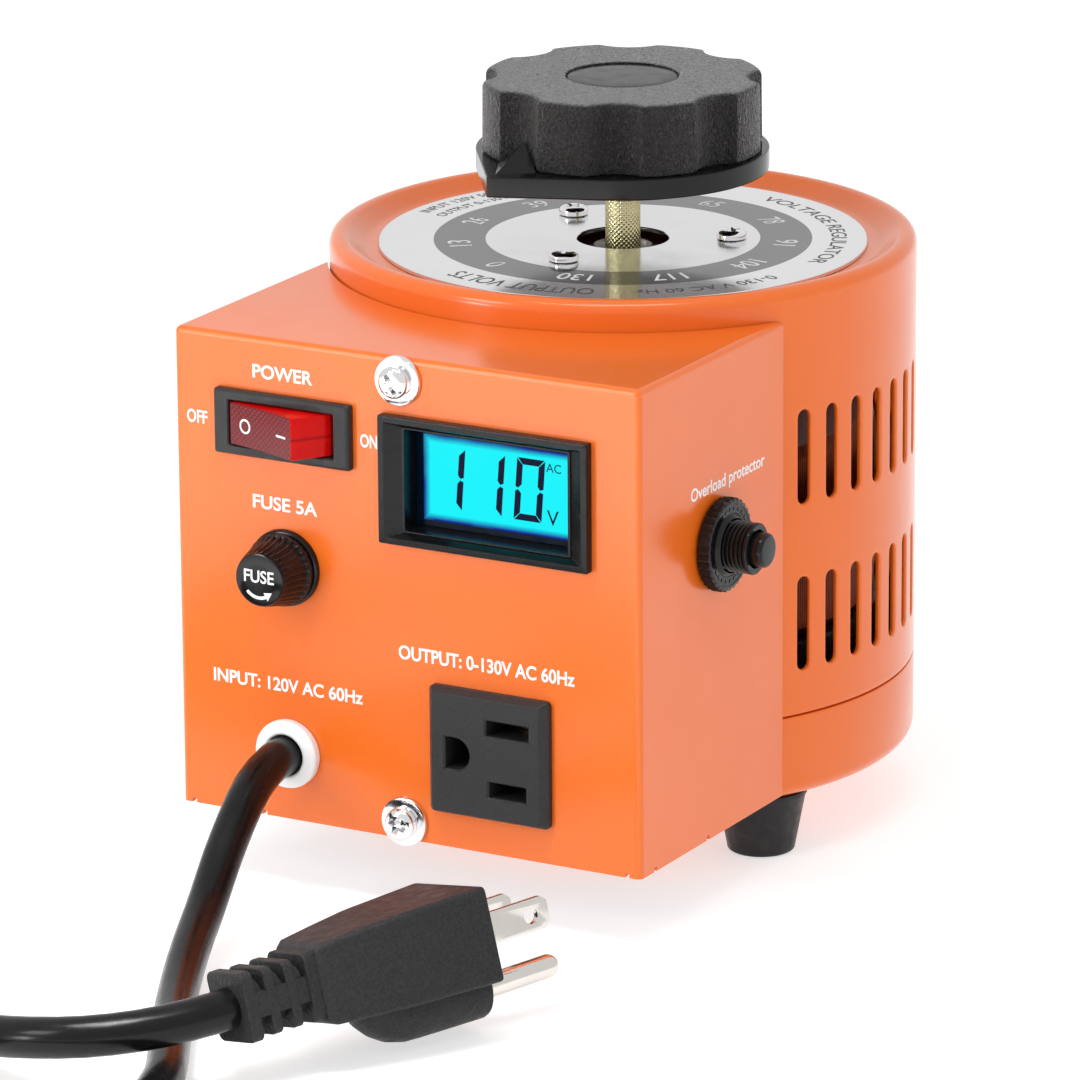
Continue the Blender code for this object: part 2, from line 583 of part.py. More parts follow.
def fuse_holder():
    at = on_front(FUSE_AT)
    lathe("fuse_body", [(3.6, -27), (5.9, -27), (5.9, 0.1), (7.9, 0.1), (7.9, 1.3), (3.6, 1.3)], 28, BLACK,
          at=at, turn=FRONT)
    lathe("fuse_nut", [(6.1, -4.6), (9.0, -4.6), (9.0, -1.4), (6.1, -1.4)], 20, BLACK, at=at, turn=FRONT)
    # cap with a ribbed skirt that narrows towards its face
    ribs, bm = 18, bmesh.new()
    rings = []
    for r, z, depth in ((7.4, 1.6, 0.35), (7.2, 3.4, 0.4), (5.75, 9.4, 0.3), (5.3, 10.4, 0.0)):
        ring = []
        for k in range(ribs * 2):
            ring.append(bm.verts.new((*polar(r - (depth if k % 2 else 0), 180 * k / ribs), z)))
        rings.append(ring)
    for one, two in zip(rings, rings[1:]):
        for k in range(ribs * 2):
            n = (k + 1) % (ribs * 2)
            bm.faces.new((one[k], one[n], two[n], two[k]))
    bm.faces.new(rings[0][::-1])
    bm.faces.new(rings[-1])
    cap = add("fuse_cap", bm, BLACK)
    place(cap, at, FRONT)
    boolean(cap, cutter("join", rod_mesh(0, 0, 3.4, -1.2, 3, 20), at, FRONT), "UNION")
    lathe("fuse_cap_rear", [(0, -23.4), (2.6, -23.4), (2.6, -18.2), (0, -18.2)], 18, STEEL, at=at, turn=FRONT)
    lathe("fuse_tube", [(0, -18.1), (2.45, -18.1), (2.45, -7.0), (0, -7.0)], 18, GLASS, at=at, turn=FRONT)
    lathe("fuse_cap_front", [(0, -6.9), (2.6, -6.9), (2.6, -1.6), (0, -1.6)], 18, STEEL, at=at, turn=FRONT)


def outlet():
    at = on_front(OUTLET_AT)
    bm = bmesh.new()
    layers = ((13.6, 13.2, 0.1), (13.6, 13.2, 1.2), (12.15, 12.35, 3.0))
    rings = []
    for hx, hy, z in layers:
        rings.append([bm.verts.new((sx * hx, sy * hy, z)) for sx, sy in ((-1, -1), (1, -1), (1, 1), (-1, 1))])
    bm.faces.new(rings[0][::-1])
    bm.faces.new(rings[-1])
    for one, two in zip(rings, rings[1:]):
        for k in range(4):
            n = (k + 1) % 4
            bm.faces.new((one[k], one[n], two[n], two[k]))
    face = add("outlet", bm, BLACK)
    place(face, at, FRONT)
    boolean(face, cutter("join", block_mesh((-12.1, 12.1), (-11.6, 11.6), (-18, 1)), at, FRONT), "UNION")
    blade_x, ground_x = 4.9, -7.0
    ground = [(ground_x - 2.2, -3.3), (ground_x, -3.3)]
    for a in range(-75, 90, 15):
        x, y = polar(3.3, a)
        ground.append((ground_x + x, y))
    ground += [(ground_x, 3.3), (ground_x - 2.2, 3.3)]
    holes = [block_mesh((blade_x - 4.8, blade_x + 4.8), (6.35 - 1.6, 6.35 + 1.6), (-14, 6)),
             block_mesh((blade_x - 4.2, blade_x + 4.2), (-6.35 - 1.6, -6.35 + 1.6), (-14, 6)),
             prism_mesh(ground, -14, 6)]
    cut(face, merged(holes), at, FRONT)
    for name, y in (("contact_neutral", 6.35), ("contact_line", -6.35)):
        block(name, (blade_x - 3.4, blade_x + 3.4), (y - 1.45, y - 0.95), (-13.5, -5.0), BRASS, at=at,
              turn=FRONT)
    block("contact_ground", (ground_x - 2.0, ground_x + 0.8), (-3.1, -2.6), (-13.5, -5.0), BRASS, at=at,
          turn=FRONT)


def breaker():
    y, z = BREAKER_AT
    at, turn = (BOX_HALF_W, y, z), (0, math.pi / 2, 0)
    body = block("breaker_body", (33.0, 51.4), (y - 13.5, y + 5.4), (z - 17, z + 17), BLACK, bevel=0.6)
    neck = ring_mesh([(0, -3), (5.25, -3), (5.25, 8.6), (4.9, 9.0), (0, 9.0)], 28)
    boolean(body, cutter("join", neck, at, turn), "UNION")
    cut(body, rod_mesh(0, 0, 3.8, 2.0, 12, 24), at, turn)
    teeth, bm, rings = 20, bmesh.new(), []
    for r, h, deep in ((5.5, 0.2, 0), (8.9, 0.2, 0), (9.5, 0.7, 0.45), (9.5, 3.2, 0.45), (8.7, 3.8, 0),
                       (5.5, 3.8, 0)):
        ring = []
        for k in range(teeth * 2):
            ring.append(bm.verts.new((*polar(r - (deep if k % 2 else 0), 180 * k / teeth), h)))
        rings.append(ring)
    for one, two in zip(rings, rings[1:] + rings[:1]):
        for k in range(teeth * 2):
            n = (k + 1) % (teeth * 2)
            bm.faces.new((one[k], one[n], two[n], two[k]))
    nut = add("breaker_nut", bm, BLACK, smooth=25)
    place(nut, at, turn)
    lathe("breaker_button", [(0, 5.2), (3.5, 5.2), (3.5, 11.0), (2.9, 11.6), (0, 11.6)], 24, BLACK, at=at,
          turn=turn)


def grommet():
    profile = [(CORD_R + 0.25, -3.4), (5.7, -3.4), (6.6, -1.5), (5.75, -1.4), (5.75, 0.15), (7.1, 0.15),
               (7.1, 1.2), (6.4, 2.3), (CORD_R + 0.6, 2.6), (CORD_R + 0.25, 2.2)]
    lathe("cord_grommet", profile, 24, WHITE, at=on_front(GROMMET_AT), turn=FRONT)


# ---------------------------------------------------------------- mains lead
def mains_lead():
    x, z = GROMMET_AT
    cx, cy = COIL_AT
    south = cy - COIL_MID_R
    north = cy + COIL_MID_R
    side = COIL_HALF_W + CORD_R + 0.5
    run = [(x, -76, z), (x, -88, z), (x, -97, z - 0.2), (x + 1.0, -107, z - 3.0), (x + 3.2, -120, z - 10.5),
           (x + 6.8, -134, z - 18.5), (x + 12.2, -149, 6.6), (x + 20.0, -166, CORD_R + 0.1),
           (x + 31.0, -186, CORD_R + 0.1), (x + 41.5, -206, CORD_R + 0.1), (x + 45.5, -226, CORD_R + 0.1),
           (x + 40.0, -248, CORD_R + 0.1), (x + 22.0, -268, CORD_R + 0.1), (x - 6.0, -281, CORD_R + 0.1),
           (cx + 16, south - side, CORD_R + 0.1), (cx, south - side, CORD_R + 0.1)]
    tube("cord_lead", smooth_route(run, 12.0), CORD_R, CORD)
    lathe("cord_coil", [(COIL_MID_R - COIL_HALF_W, 0.3), (COIL_MID_R + COIL_HALF_W, 0.3),
                        (COIL_MID_R + COIL_HALF_W, COIL_H), (COIL_MID_R - COIL_HALF_W, COIL_H)], 40, CORD,
          at=(cx, cy, 0))
    tail = [(cx, north + side, CORD_R + 0.1), (cx + 14.8, cy + 55.1, 4.2), (cx + 28.5, cy + 49.4, 4.6),
            (cx + 38.1, cy + 42.4, 5.3), (cx + 45.9, cy + 33.8, 6.3), (-30.2, -206.1, 7.6),
            (-21.8, -210.6, 8.8), (-10.9, -212.5, 10.7), (0.9, -210.2, 12.2), (11.0, -203.8, 13.5)]
    axis = PLUG_TURN.to_matrix() @ Vector((1, 0, 0))
    for back in (4.0, 0.8):
        tail.append(tuple(Vector(PLUG_AT) - axis * back))
    tube("cord_tail", smooth_route(tail, 12.0), CORD_R, CORD)


def plug():
    """Moulded three-pin plug. Local x runs along the plug, z up, blades level with the cord."""
    turn = PLUG_TURN
    at = PLUG_AT

    def hull(sections):
        bm = bmesh.new()
        rings = [[bm.verts.new(p) for p in ring] for ring in sections]
        for one, two in zip(rings, rings[1:]):
            count = len(one)
            for k in range(count):
                n = (k + 1) % count
                bm.faces.new((one[k], one[n], two[n], two[k]))
        bm.faces.new(rings[0][::-1])
        bm.faces.new(rings[-1])
        return bm

    def rounded(x, y0, y1, z0, z1, r):
        pts = []
        corners = ((y1 - r, z1 - r), (y0 + r, z1 - r), (y0 + r, z0 + r), (y1 - r, z0 + r))
        for k, (cx, cy) in enumerate(corners):
            for a in (0, 45, 90):
                u, v = polar(r, 90 * k + a)
                pts.append((x, cx + u, cy + v))
        return pts

    upper = hull([rounded(16, -7.4, 7.4, -7.6, 7.2, 2), rounded(18, -8.2, 8.2, -8.2, 7.9, 2),
                  rounded(34, -11.0, 11.0, -9.0, 9.0, 2), rounded(53, -12.6, 12.6, -9.4, 9.4, 1.5)])
    body = add("plug_body", upper, CORD)
    place(body, at, turn)
    lobe = hull([rounded(27, -5.5, 5.5, -9.5, -7.0, 1.2), rounded(29.5, -7.0, 7.0, -14.0, -6.0, 2),
                 rounded(34, -7.6, 7.6, -16.6, -6.0, 3), rounded(53, -7.8, 7.8, -17.2, -6.0, 3)])
    boolean(body, cutter("join", lobe, at, turn), "UNION")
    relief = [(0, 0), (6.8, 0), (6.8, 2.6), (5.0, 2.6), (5.0, 4.8), (6.6, 4.8), (6.6, 7.2), (5.2, 7.2),
              (5.2, 9.4), (6.6, 9.4), (6.6, 11.8), (5.6, 11.8), (5.6, 14.0), (6.8, 14.0), (6.8, 17.5),
              (0, 17.5)]
    strain = ring_mesh(relief, 20)
    strain.transform(Matrix.Rotation(math.pi / 2, 4, "Y"))
    boolean(body, cutter("join", strain, at, turn), "UNION")
    for name, y in (("plug_blade_line", -6.35), ("plug_blade_neutral", 6.35)):
        blade = block(name, (53.2, 69.2), (y - 0.75, y + 0.75), (-3.17, 3.17), NICKEL, bevel=0.3)
        hole = rod_mesh(0, 0, 1.5, -3, 3, 16)
        hole.transform(Matrix.Translation((64.4, y, 0)) @ Matrix.Rotation(math.pi / 2, 4, "X"))
        cut(blade, hole)
        place(blade, at, turn)
    pin = ring_mesh([(0, 53.2), (2.38, 53.2), (2.38, 70.4), (1.7, 72.2), (0, 72.9)], 20)
    pin.transform(Matrix.Translation((0, 0, -11.9)) @ Matrix.Rotation(math.pi / 2, 4, "Y"))
    ground = add("plug_ground_pin", pin, NICKEL, smooth=35)
    place(ground, at, turn)


clear_file()
ROOT = bpy.data.objects.new("drum_axis", None)
bpy.context.scene.collection.objects.link(ROOT)
ROOT.location = (AXIS_X * MM, AXIS_Y * MM, 0)
bpy.context.view_layer.update()

ORANGE = material("orange_paint", (0.86, 0.16, 0.02), 0.25)
ALUMINIUM = material("dial_aluminium", (0.75, 0.76, 0.78), 0.35, 1.0)
STEEL = material("bright_steel", (0.75, 0.75, 0.76), 0.25, 1.0)
ZINC = material("yellow_zinc", (0.7, 0.66, 0.42), 0.4, 1.0)
BLACK = material("black_plastic", (0.012, 0.012, 0.013), 0.5)
GLOSS = material("gloss_black", (0.01, 0.01, 0.011), 0.2)
RUBBER = material("foot_rubber", (0.015, 0.015, 0.016), 0.7)
COPPER = material("copper_wire", (0.55, 0.22, 0.1), 0.35, 1.0)
CORE = material("core_steel", (0.3, 0.3, 0.32), 0.5, 1.0)
CAST = material("cast_hub", (0.5, 0.5, 0.52), 0.5, 1.0)
PHENOLIC = material("phenolic", (0.05, 0.015, 0.008), 0.45)
BRASS = material("brass", (0.72, 0.52, 0.2), 0.3, 1.0)
CARBON = material("carbon", (0.03, 0.03, 0.03), 0.6)
RED = material("red_rocker", (0.6, 0.01, 0.01), 0.2)
LCD = material("meter_lcd", (0.0, 0.75, 0.95), 0.2)
GLASS = material("fuse_glass", (0.85, 0.9, 0.9), 0.05)
WHITE = material("white_plastic", (0.85, 0.85, 0.85), 0.4)
CORD = material("cord_rubber", (0.012, 0.012, 0.012), 0.35)
NICKEL = material("nickel", (0.7, 0.7, 0.7), 0.25, 1.0)

drum_shell()
base_pan()
dial()
feet()
transformer()
shaft_and_arm()
knob()
control_box()
power_switch()
meter()
fuse_holder()
outlet()
breaker()
grommet()
mains_lead()
plug()
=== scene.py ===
"""Looks of a bench variable autotransformer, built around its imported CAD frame."""
import math

import bmesh
import bpy
from mathutils import Euler, Matrix, Vector
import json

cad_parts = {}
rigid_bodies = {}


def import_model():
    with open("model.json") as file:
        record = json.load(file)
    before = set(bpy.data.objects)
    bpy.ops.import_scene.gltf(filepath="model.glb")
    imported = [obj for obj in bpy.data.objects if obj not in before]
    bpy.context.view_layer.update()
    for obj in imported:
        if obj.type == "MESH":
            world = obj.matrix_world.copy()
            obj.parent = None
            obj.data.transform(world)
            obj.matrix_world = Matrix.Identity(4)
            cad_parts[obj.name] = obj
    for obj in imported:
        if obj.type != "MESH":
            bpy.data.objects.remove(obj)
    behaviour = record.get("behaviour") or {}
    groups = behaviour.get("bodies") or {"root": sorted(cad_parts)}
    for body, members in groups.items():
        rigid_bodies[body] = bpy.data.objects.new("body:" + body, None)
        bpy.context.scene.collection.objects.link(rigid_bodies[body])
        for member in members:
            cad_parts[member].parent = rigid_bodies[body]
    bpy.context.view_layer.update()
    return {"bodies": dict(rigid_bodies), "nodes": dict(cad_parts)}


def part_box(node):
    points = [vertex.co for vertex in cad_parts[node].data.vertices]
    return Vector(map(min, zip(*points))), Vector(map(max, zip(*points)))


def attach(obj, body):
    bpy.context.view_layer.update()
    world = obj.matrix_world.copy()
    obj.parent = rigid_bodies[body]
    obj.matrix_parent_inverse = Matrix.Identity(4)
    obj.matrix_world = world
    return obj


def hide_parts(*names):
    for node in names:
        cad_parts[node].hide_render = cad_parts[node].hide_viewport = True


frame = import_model()

MM = 0.001
BAYS = frame["bodies"]
shaft_low, shaft_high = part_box("shaft")
AXIS = Vector(((shaft_low.x + shaft_high.x) / 2, (shaft_low.y + shaft_high.y) / 2, 0))


def span(node):
    """A CAD node's lowest and highest corner in millimetres from the drum's axis."""
    low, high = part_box(node)
    return (low - AXIS) / MM, (high - AXIS) / MM


def centre(node):
    low, high = span(node)
    return (low + high) / 2


shell_low, shell_high = span("drum_shell")
pan_low, pan_high = span("base_pan")
box_low, box_high = span("front_box")
dial_low, dial_high = span("dial_plate")

DRUM_R = (shell_high.x - shell_low.x) / 2
WALL = 1.2
PANEL_Y = box_low.y
SIDE_X = box_high.x
BOX_Z0, BOX_Z1 = box_low.z, box_high.z
LEDGE_Z = dial_low.z - 0.1
DIAL_Z = dial_high.z


# ---------------------------------------------------------------- camera, light, floor
def camera():
    """A long lens, a little to the right of the panel and above it."""
    az, el, roll = (math.radians(a) for a in (29.44, 16.48, -0.39))
    back = Vector((math.sin(az) * math.cos(el), -math.cos(az) * math.cos(el), math.sin(el)))
    side = Vector((math.cos(az), math.sin(az), 0))
    up = back.cross(side)
    right = side * math.cos(roll) + up * math.sin(roll)
    top = up * math.cos(roll) - side * math.sin(roll)
    data = bpy.data.cameras.new("camera")
    data.sensor_width = 36
    data.lens = 7600 / 30
    data.clip_start, data.clip_end = 0.1, 50
    cam = bpy.data.objects.new("camera", data)
    bpy.context.scene.collection.objects.link(cam)
    place = AXIS + (Vector((0, 0, 70)) + back * 1579.8 - right * 17.4 - top * 15.38) * MM
    turn = Matrix((right, top, back)).transposed().to_4x4()
    cam.matrix_world = Matrix.Translation(place) @ turn
    bpy.context.scene.camera = cam


def softbox(name, place, aim, size, watts, spread=180):
    data = bpy.data.lights.new(name, "AREA")
    data.shape = "RECTANGLE"
    data.size, data.size_y = size
    data.energy = watts
    data.spread = math.radians(spread)
    light = bpy.data.objects.new(name, data)
    bpy.context.scene.collection.objects.link(light)
    light.location = place
    light.rotation_euler = (Vector(place) - Vector(aim)).to_track_quat("Z", "Y").to_euler()


def studio():
    world = bpy.data.worlds.new("studio")
    world.use_nodes = True
    world.node_tree.nodes["Background"].inputs["Color"].default_value = (1, 1, 1, 1)
    world.node_tree.nodes["Background"].inputs["Strength"].default_value = 0.82
    bpy.context.scene.world = world
    softbox("key", (-0.75, -1.3, 0.95), (0, 0, 0.07), (0.45, 0.45), 5)
    softbox("low", (-0.62, -1.15, 0.18), (0, 0, 0.1), (0.22, 0.22), 2.2)
    softbox("floor_light", (-0.10, -0.46, 0.75), (-0.10, -0.46, 0), (0.35, 0.35), 2.5, 55)
    softbox("overhead", (0.25, -0.35, 1.3), (0, 0, 0.1), (0.5, 0.12), 2.5)
    bpy.ops.mesh.primitive_plane_add(size=8)
    floor = bpy.context.object
    floor.name = "floor"
    floor.location = (0, 0, -0.0002)
    white = Paint("floor_white", (0.55, 0.55, 0.55), 0.9)
    white.shader.inputs["Specular IOR Level"].default_value = 0.1
    white.shader.inputs["Emission Color"].default_value = (1, 1, 1, 1)
    white.shader.inputs["Emission Strength"].default_value = 0.6
    white.tint(white.ramp(white.noise(0.002, 2), 0.4, 0.7, 0.0, 0.3), (0.53, 0.53, 0.53))
    floor.data.materials.append(white.mat)
    view = bpy.context.scene.view_settings
    view.view_transform = "Standard"
    view.look = "None"
    view.exposure = 0.0


# ---------------------------------------------------------------- materials
class Paint:
    """A Principled material with helpers that add procedural detail."""

    def __init__(self, name, colour, rough, metal=0.0, coat=None, ior=None, shine=0.5):
        self.mat = bpy.data.materials.new(name)
        self.mat.use_nodes = True
        self.tree = self.mat.node_tree
        self.shader = self.tree.nodes["Principled BSDF"]
        self.colour = (*colour, 1.0)
        self.rough = rough
        self.shader.inputs["Base Color"].default_value = self.colour
        self.shader.inputs["Roughness"].default_value = rough
        self.shader.inputs["Metallic"].default_value = metal
        self.shader.inputs["Specular IOR Level"].default_value = shine
        if ior:
            self.shader.inputs["IOR"].default_value = ior
        if coat:
            self.shader.inputs["Coat Weight"].default_value = coat[0]
            self.shader.inputs["Coat Roughness"].default_value = coat[1]
            self.shader.inputs["Coat IOR"].default_value = coat[2]
        self.height = None
        self.coords = self.add("ShaderNodeTexCoord").outputs["Object"]

    def add(self, kind, **values):
        node = self.tree.nodes.new(kind)
        for key, value in values.items():
            if hasattr(node, key):
                setattr(node, key, value)
            else:
                node.inputs[key.replace("_", " ")].default_value = value
        return node

    def link(self, a, b):
        self.tree.links.new(a, b)

    def math(self, kind, a, b=None, clamp=False):
        node = self.add("ShaderNodeMath", operation=kind, use_clamp=clamp)
        for k, v in enumerate((a, b)):
            if v is None:
                continue
            if isinstance(v, (int, float)):
                node.inputs[k].default_value = v
            else:
                self.link(v, node.inputs[k])
        return node.outputs[0]

    def noise(self, per_mm, detail=2.0, stretch=(1, 1, 1), rough=0.5, warp=0.0):
        place = self.add("ShaderNodeMapping")
        place.inputs["Scale"].default_value = [per_mm * 1000 * s for s in stretch]
        self.link(self.coords, place.inputs["Vector"])
        node = self.add("ShaderNodeTexNoise", Scale=1.0, Detail=detail, Roughness=rough, Distortion=warp)
        self.link(place.outputs[0], node.inputs["Vector"])
        return node.outputs["Fac"]

    def cells(self, per_mm, feature="F1", stretch=(1, 1, 1), warp=0.0):
        place = self.add("ShaderNodeMapping")
        place.inputs["Scale"].default_value = [per_mm * 1000 * s for s in stretch]
        self.link(self.coords, place.inputs["Vector"])
        vector = place.outputs[0]
        if warp:
            bend = self.add("ShaderNodeTexNoise", Scale=1.3, Detail=2.0)
            self.link(vector, bend.inputs["Vector"])
            mix = self.add("ShaderNodeMixRGB", blend_type="ADD")
            mix.inputs[0].default_value = warp
            self.link(vector, mix.inputs[1])
            self.link(bend.outputs["Color"], mix.inputs[2])
            vector = mix.outputs[0]
        node = self.add("ShaderNodeTexVoronoi", feature=feature, Scale=1.0)
        self.link(vector, node.inputs["Vector"])
        return node.outputs["Distance"]

    def ramp(self, value, low, high, start=0.0, end=1.0):
        node = self.add("ShaderNodeMapRange", clamp=True)
        node.inputs["From Min"].default_value = low
        node.inputs["From Max"].default_value = high
        node.inputs["To Min"].default_value = start
        node.inputs["To Max"].default_value = end
        self.link(value, node.inputs["Value"])
        return node.outputs["Result"]

    def tint(self, value, colour):
        """Mix the present base colour towards another one by value."""
        mix = self.add("ShaderNodeMixRGB")
        self.link(value, mix.inputs[0])
        source = self.shader.inputs["Base Color"]
        if source.is_linked:
            self.link(source.links[0].from_socket, mix.inputs[1])
        else:
            mix.inputs[1].default_value = source.default_value
        mix.inputs[2].default_value = (*colour, 1.0)
        self.link(mix.outputs[0], source)
        return self

    def gloss(self, value, low, high):
        self.link(self.ramp(value, 0.3, 0.7, low, high), self.shader.inputs["Roughness"])
        return self

    def bump(self, value, depth_mm, strength=1.0):
        node = self.add("ShaderNodeBump")
        node.inputs["Strength"].default_value = strength
        node.inputs["Distance"].default_value = depth_mm * MM
        self.link(value, node.inputs["Height"])
        if self.height is not None:
            self.link(self.height, node.inputs["Normal"])
        self.height = node.outputs["Normal"]
        self.link(self.height, self.shader.inputs["Normal"])
        return self

    def axis(self):
        """Object coordinates in millimetres from the drum's axis: x, y, z."""
        move = self.add("ShaderNodeMapping")
        move.inputs["Location"].default_value = (-AXIS.x * 1000, -AXIS.y * 1000, 0)
        move.inputs["Scale"].default_value = (1000, 1000, 1000)
        self.link(self.coords, move.inputs["Vector"])
        split = self.add("ShaderNodeSeparateXYZ")
        self.link(move.outputs[0], split.inputs[0])
        return split.outputs


def orange_paint():
    """Gloss enamel: faint orange peel, a few pinholes and settled dust, slight clouding of the colour."""
    p = Paint("orange_paint", (0.80, 0.142, 0.007), 0.42, coat=(1.0, 0.19, 1.48), shine=0.12)
    p.tint(p.ramp(p.noise(0.02, 3), 0.35, 0.75, 0.0, 0.4), (0.84, 0.16, 0.011))
    p.tint(p.ramp(p.cells(0.16), 0.0, 0.045, 0.30, 0.0), (0.40, 0.05, 0.004))
    p.gloss(p.noise(0.05, 3), 0.36, 0.5)
    p.bump(p.noise(0.28, 2), 0.010)
    p.bump(p.noise(1.6, 1), 0.0012)
    return p.mat


def metal(name, colour, rough, grain=(8, 8, 0.4), depth=0.004, vary=0.06):
    p = Paint(name, colour, rough, metal=1.0)
    p.gloss(p.noise(0.35, 3), max(0.02, rough - vary), rough + vary)
    p.bump(p.noise(0.6, 2, stretch=grain), depth)
    p.tint(p.ramp(p.noise(0.18, 3), 0.45, 0.8, 0.0, 0.3), tuple(c * 0.8 for c in colour))
    return p


def dial_face(name, colour, rough, metallic, ior=None):
    """Printed aluminium sheet, brushed round its centre."""
    p = Paint(name, colour, rough, metal=metallic, ior=ior)
    x, y, z = p.axis()
    r = p.math("SQRT", p.math("ADD", p.math("MULTIPLY", x, x), p.math("MULTIPLY", y, y)))
    lines = p.add("ShaderNodeTexNoise", Scale=1.0, Detail=3.0, Roughness=0.7)
    lines.noise_dimensions = "1D"
    p.link(p.math("MULTIPLY", r, 3.0), lines.inputs["W"])
    p.bump(lines.outputs["Fac"], 0.0012)
    p.gloss(p.noise(0.12, 3), rough * 0.8, rough * 1.25)
    p.tint(p.ramp(p.noise(0.06, 3), 0.4, 0.8, 0.0, 0.25), tuple(c * 0.86 for c in colour))
    return p.mat


def leather_black():
    """Coarse moulded leather grain: short wandering creases between raised pads, with upward faces painted lighter grey
    as a painted sheen of the light grazing the knob's top.
    """
    p = Paint("leather_grain", (0.002, 0.002, 0.0023), 0.18, ior=1.42)
    p.shader.inputs["Sheen Weight"].default_value = 0.25
    p.shader.inputs["Sheen Roughness"].default_value = 0.35
    crack = p.cells(0.95, "DISTANCE_TO_EDGE", (1, 1, 0.7), warp=1.1)
    worm = p.noise(0.85, 3, (1, 1, 0.75), 0.62, 1.4)
    p.bump(p.ramp(worm, 0.36, 0.62), 0.42)
    p.bump(p.ramp(crack, 0.0, 0.22), 0.18)
    p.bump(p.noise(4.2, 2), 0.02)
    p.tint(p.ramp(worm, 0.35, 0.7, 0.0, 0.5), (0.006, 0.006, 0.0065))
    # painted sheen: faces that point up are tinted lighter grey, standing in for the light that grazes the knob's top
    upward = p.add("ShaderNodeSeparateXYZ")
    p.link(p.add("ShaderNodeNewGeometry").outputs["Normal"], upward.inputs[0])
    painted_top_sheen = p.math("MULTIPLY", p.ramp(upward.outputs["Z"], 0.6, 0.95), p.ramp(worm, 0.3, 0.7, 0.7, 1.0))
    p.tint(painted_top_sheen, (0.17, 0.17, 0.17))
    p.gloss(p.noise(1.6, 2), 0.12, 0.26)
    return p.mat


def grain_black(name, colour=(0.014, 0.014, 0.015), rough=0.45, size=2.2, depth=0.03, shine=0.5):
    """Fine spark-eroded texture on moulded plastic."""
    p = Paint(name, colour, rough, shine=shine)
    fine = p.noise(size, 2, rough=0.7)
    p.bump(p.ramp(fine, 0.3, 0.7), depth)
    p.tint(p.ramp(fine, 0.35, 0.8, 0.0, 0.6), tuple(c * 2.6 for c in colour))
    p.gloss(p.noise(0.4, 2), rough - 0.08, rough + 0.08)
    return p.mat


def gloss_black(name, colour=(0.005, 0.005, 0.0055), rough=0.12, shine=0.3):
    p = Paint(name, colour, rough, shine=shine)
    p.gloss(p.noise(0.25, 3), rough * 0.7, rough * 1.5)
    p.bump(p.noise(0.5, 2), 0.004)
    p.tint(p.ramp(p.noise(0.9, 3), 0.55, 0.8, 0.0, 0.4), (0.014, 0.014, 0.015))
    return p.mat


def rubber():
    p = Paint("foot_rubber", (0.008, 0.008, 0.009), 0.38, shine=0.35)
    p.bump(p.noise(1.4, 3), 0.02)
    p.tint(p.ramp(p.noise(0.3, 4), 0.5, 0.8, 0.0, 0.6), (0.035, 0.034, 0.033))
    p.gloss(p.noise(0.5, 3), 0.32, 0.55)
    return p.mat


def cord_jacket():
    p = Paint("cord_jacket", (0.004, 0.004, 0.0045), 0.24, shine=0.22)
    p.gloss(p.noise(0.12, 3), 0.18, 0.32)
    p.bump(p.noise(0.22, 2), 0.05)
    p.bump(p.noise(1.8, 2), 0.004)
    p.tint(p.ramp(p.noise(0.5, 4), 0.6, 0.85, 0.0, 0.5), (0.02, 0.02, 0.02))
    return p.mat


def copper_winding():
    """Fine enamelled wire laid side by side round the core."""
    p = Paint("copper_winding", (0.45, 0.10, 0.035), 0.3, metal=0.85)
    x, y, z = p.axis()
    angle = p.math("ARCTAN2", y, x)
    wave = p.math("SINE", p.math("MULTIPLY", angle, 560.0))
    lay = p.ramp(wave, -1.0, 1.0)
    p.bump(lay, 0.25)
    p.tint(p.ramp(wave, 0.1, -0.9), (0.035, 0.008, 0.005))
    p.tint(p.ramp(p.noise(0.4, 2), 0.5, 0.75, 0.0, 0.6), (0.16, 0.03, 0.012))
    return p.mat


def red_rocker():
    """Translucent red moulding with a fine raised dot pattern."""
    p = Paint("red_rocker", (0.11, 0.002, 0.004), 0.16, shine=0.35)
    x, y, z = p.axis()
    step = math.pi / 0.62
    dots = p.math("MULTIPLY", p.math("SINE", p.math("MULTIPLY", x, step)),
                  p.math("SINE", p.math("MULTIPLY", z, step)))
    lifted = p.ramp(dots, 0.1, 0.75)
    p.bump(lifted, 0.06, 0.8)
    p.tint(lifted, (0.26, 0.008, 0.012))
    p.gloss(p.noise(0.6, 2), 0.12, 0.24)
    return p.mat


def red_smooth():
    """The same moulding left clear, with a darker line where its two halves meet."""
    p = Paint("red_lens", (0.52, 0.003, 0.002), 0.10, shine=0.12)
    p.shader.inputs["Emission Color"].default_value = (0.95, 0.01, 0.006, 1)
    p.shader.inputs["Emission Strength"].default_value = 0.05
    x, y, z = p.axis()
    middle = p.math("ABSOLUTE", p.math("SUBTRACT", z, centre("switch_rocker").z - 0.2))
    p.gloss(p.noise(0.5, 2), 0.05, 0.14)
    p.bump(p.noise(0.8, 2), 0.006)
    p.tint(p.ramp(p.noise(0.35, 3), 0.45, 0.75, 0.0, 0.5), (0.40, 0.0, 0.003))
    p.tint(p.ramp(middle, 0.12, 0.45, 0.75, 0.0), (0.22, 0.0, 0.003))
    return p.mat


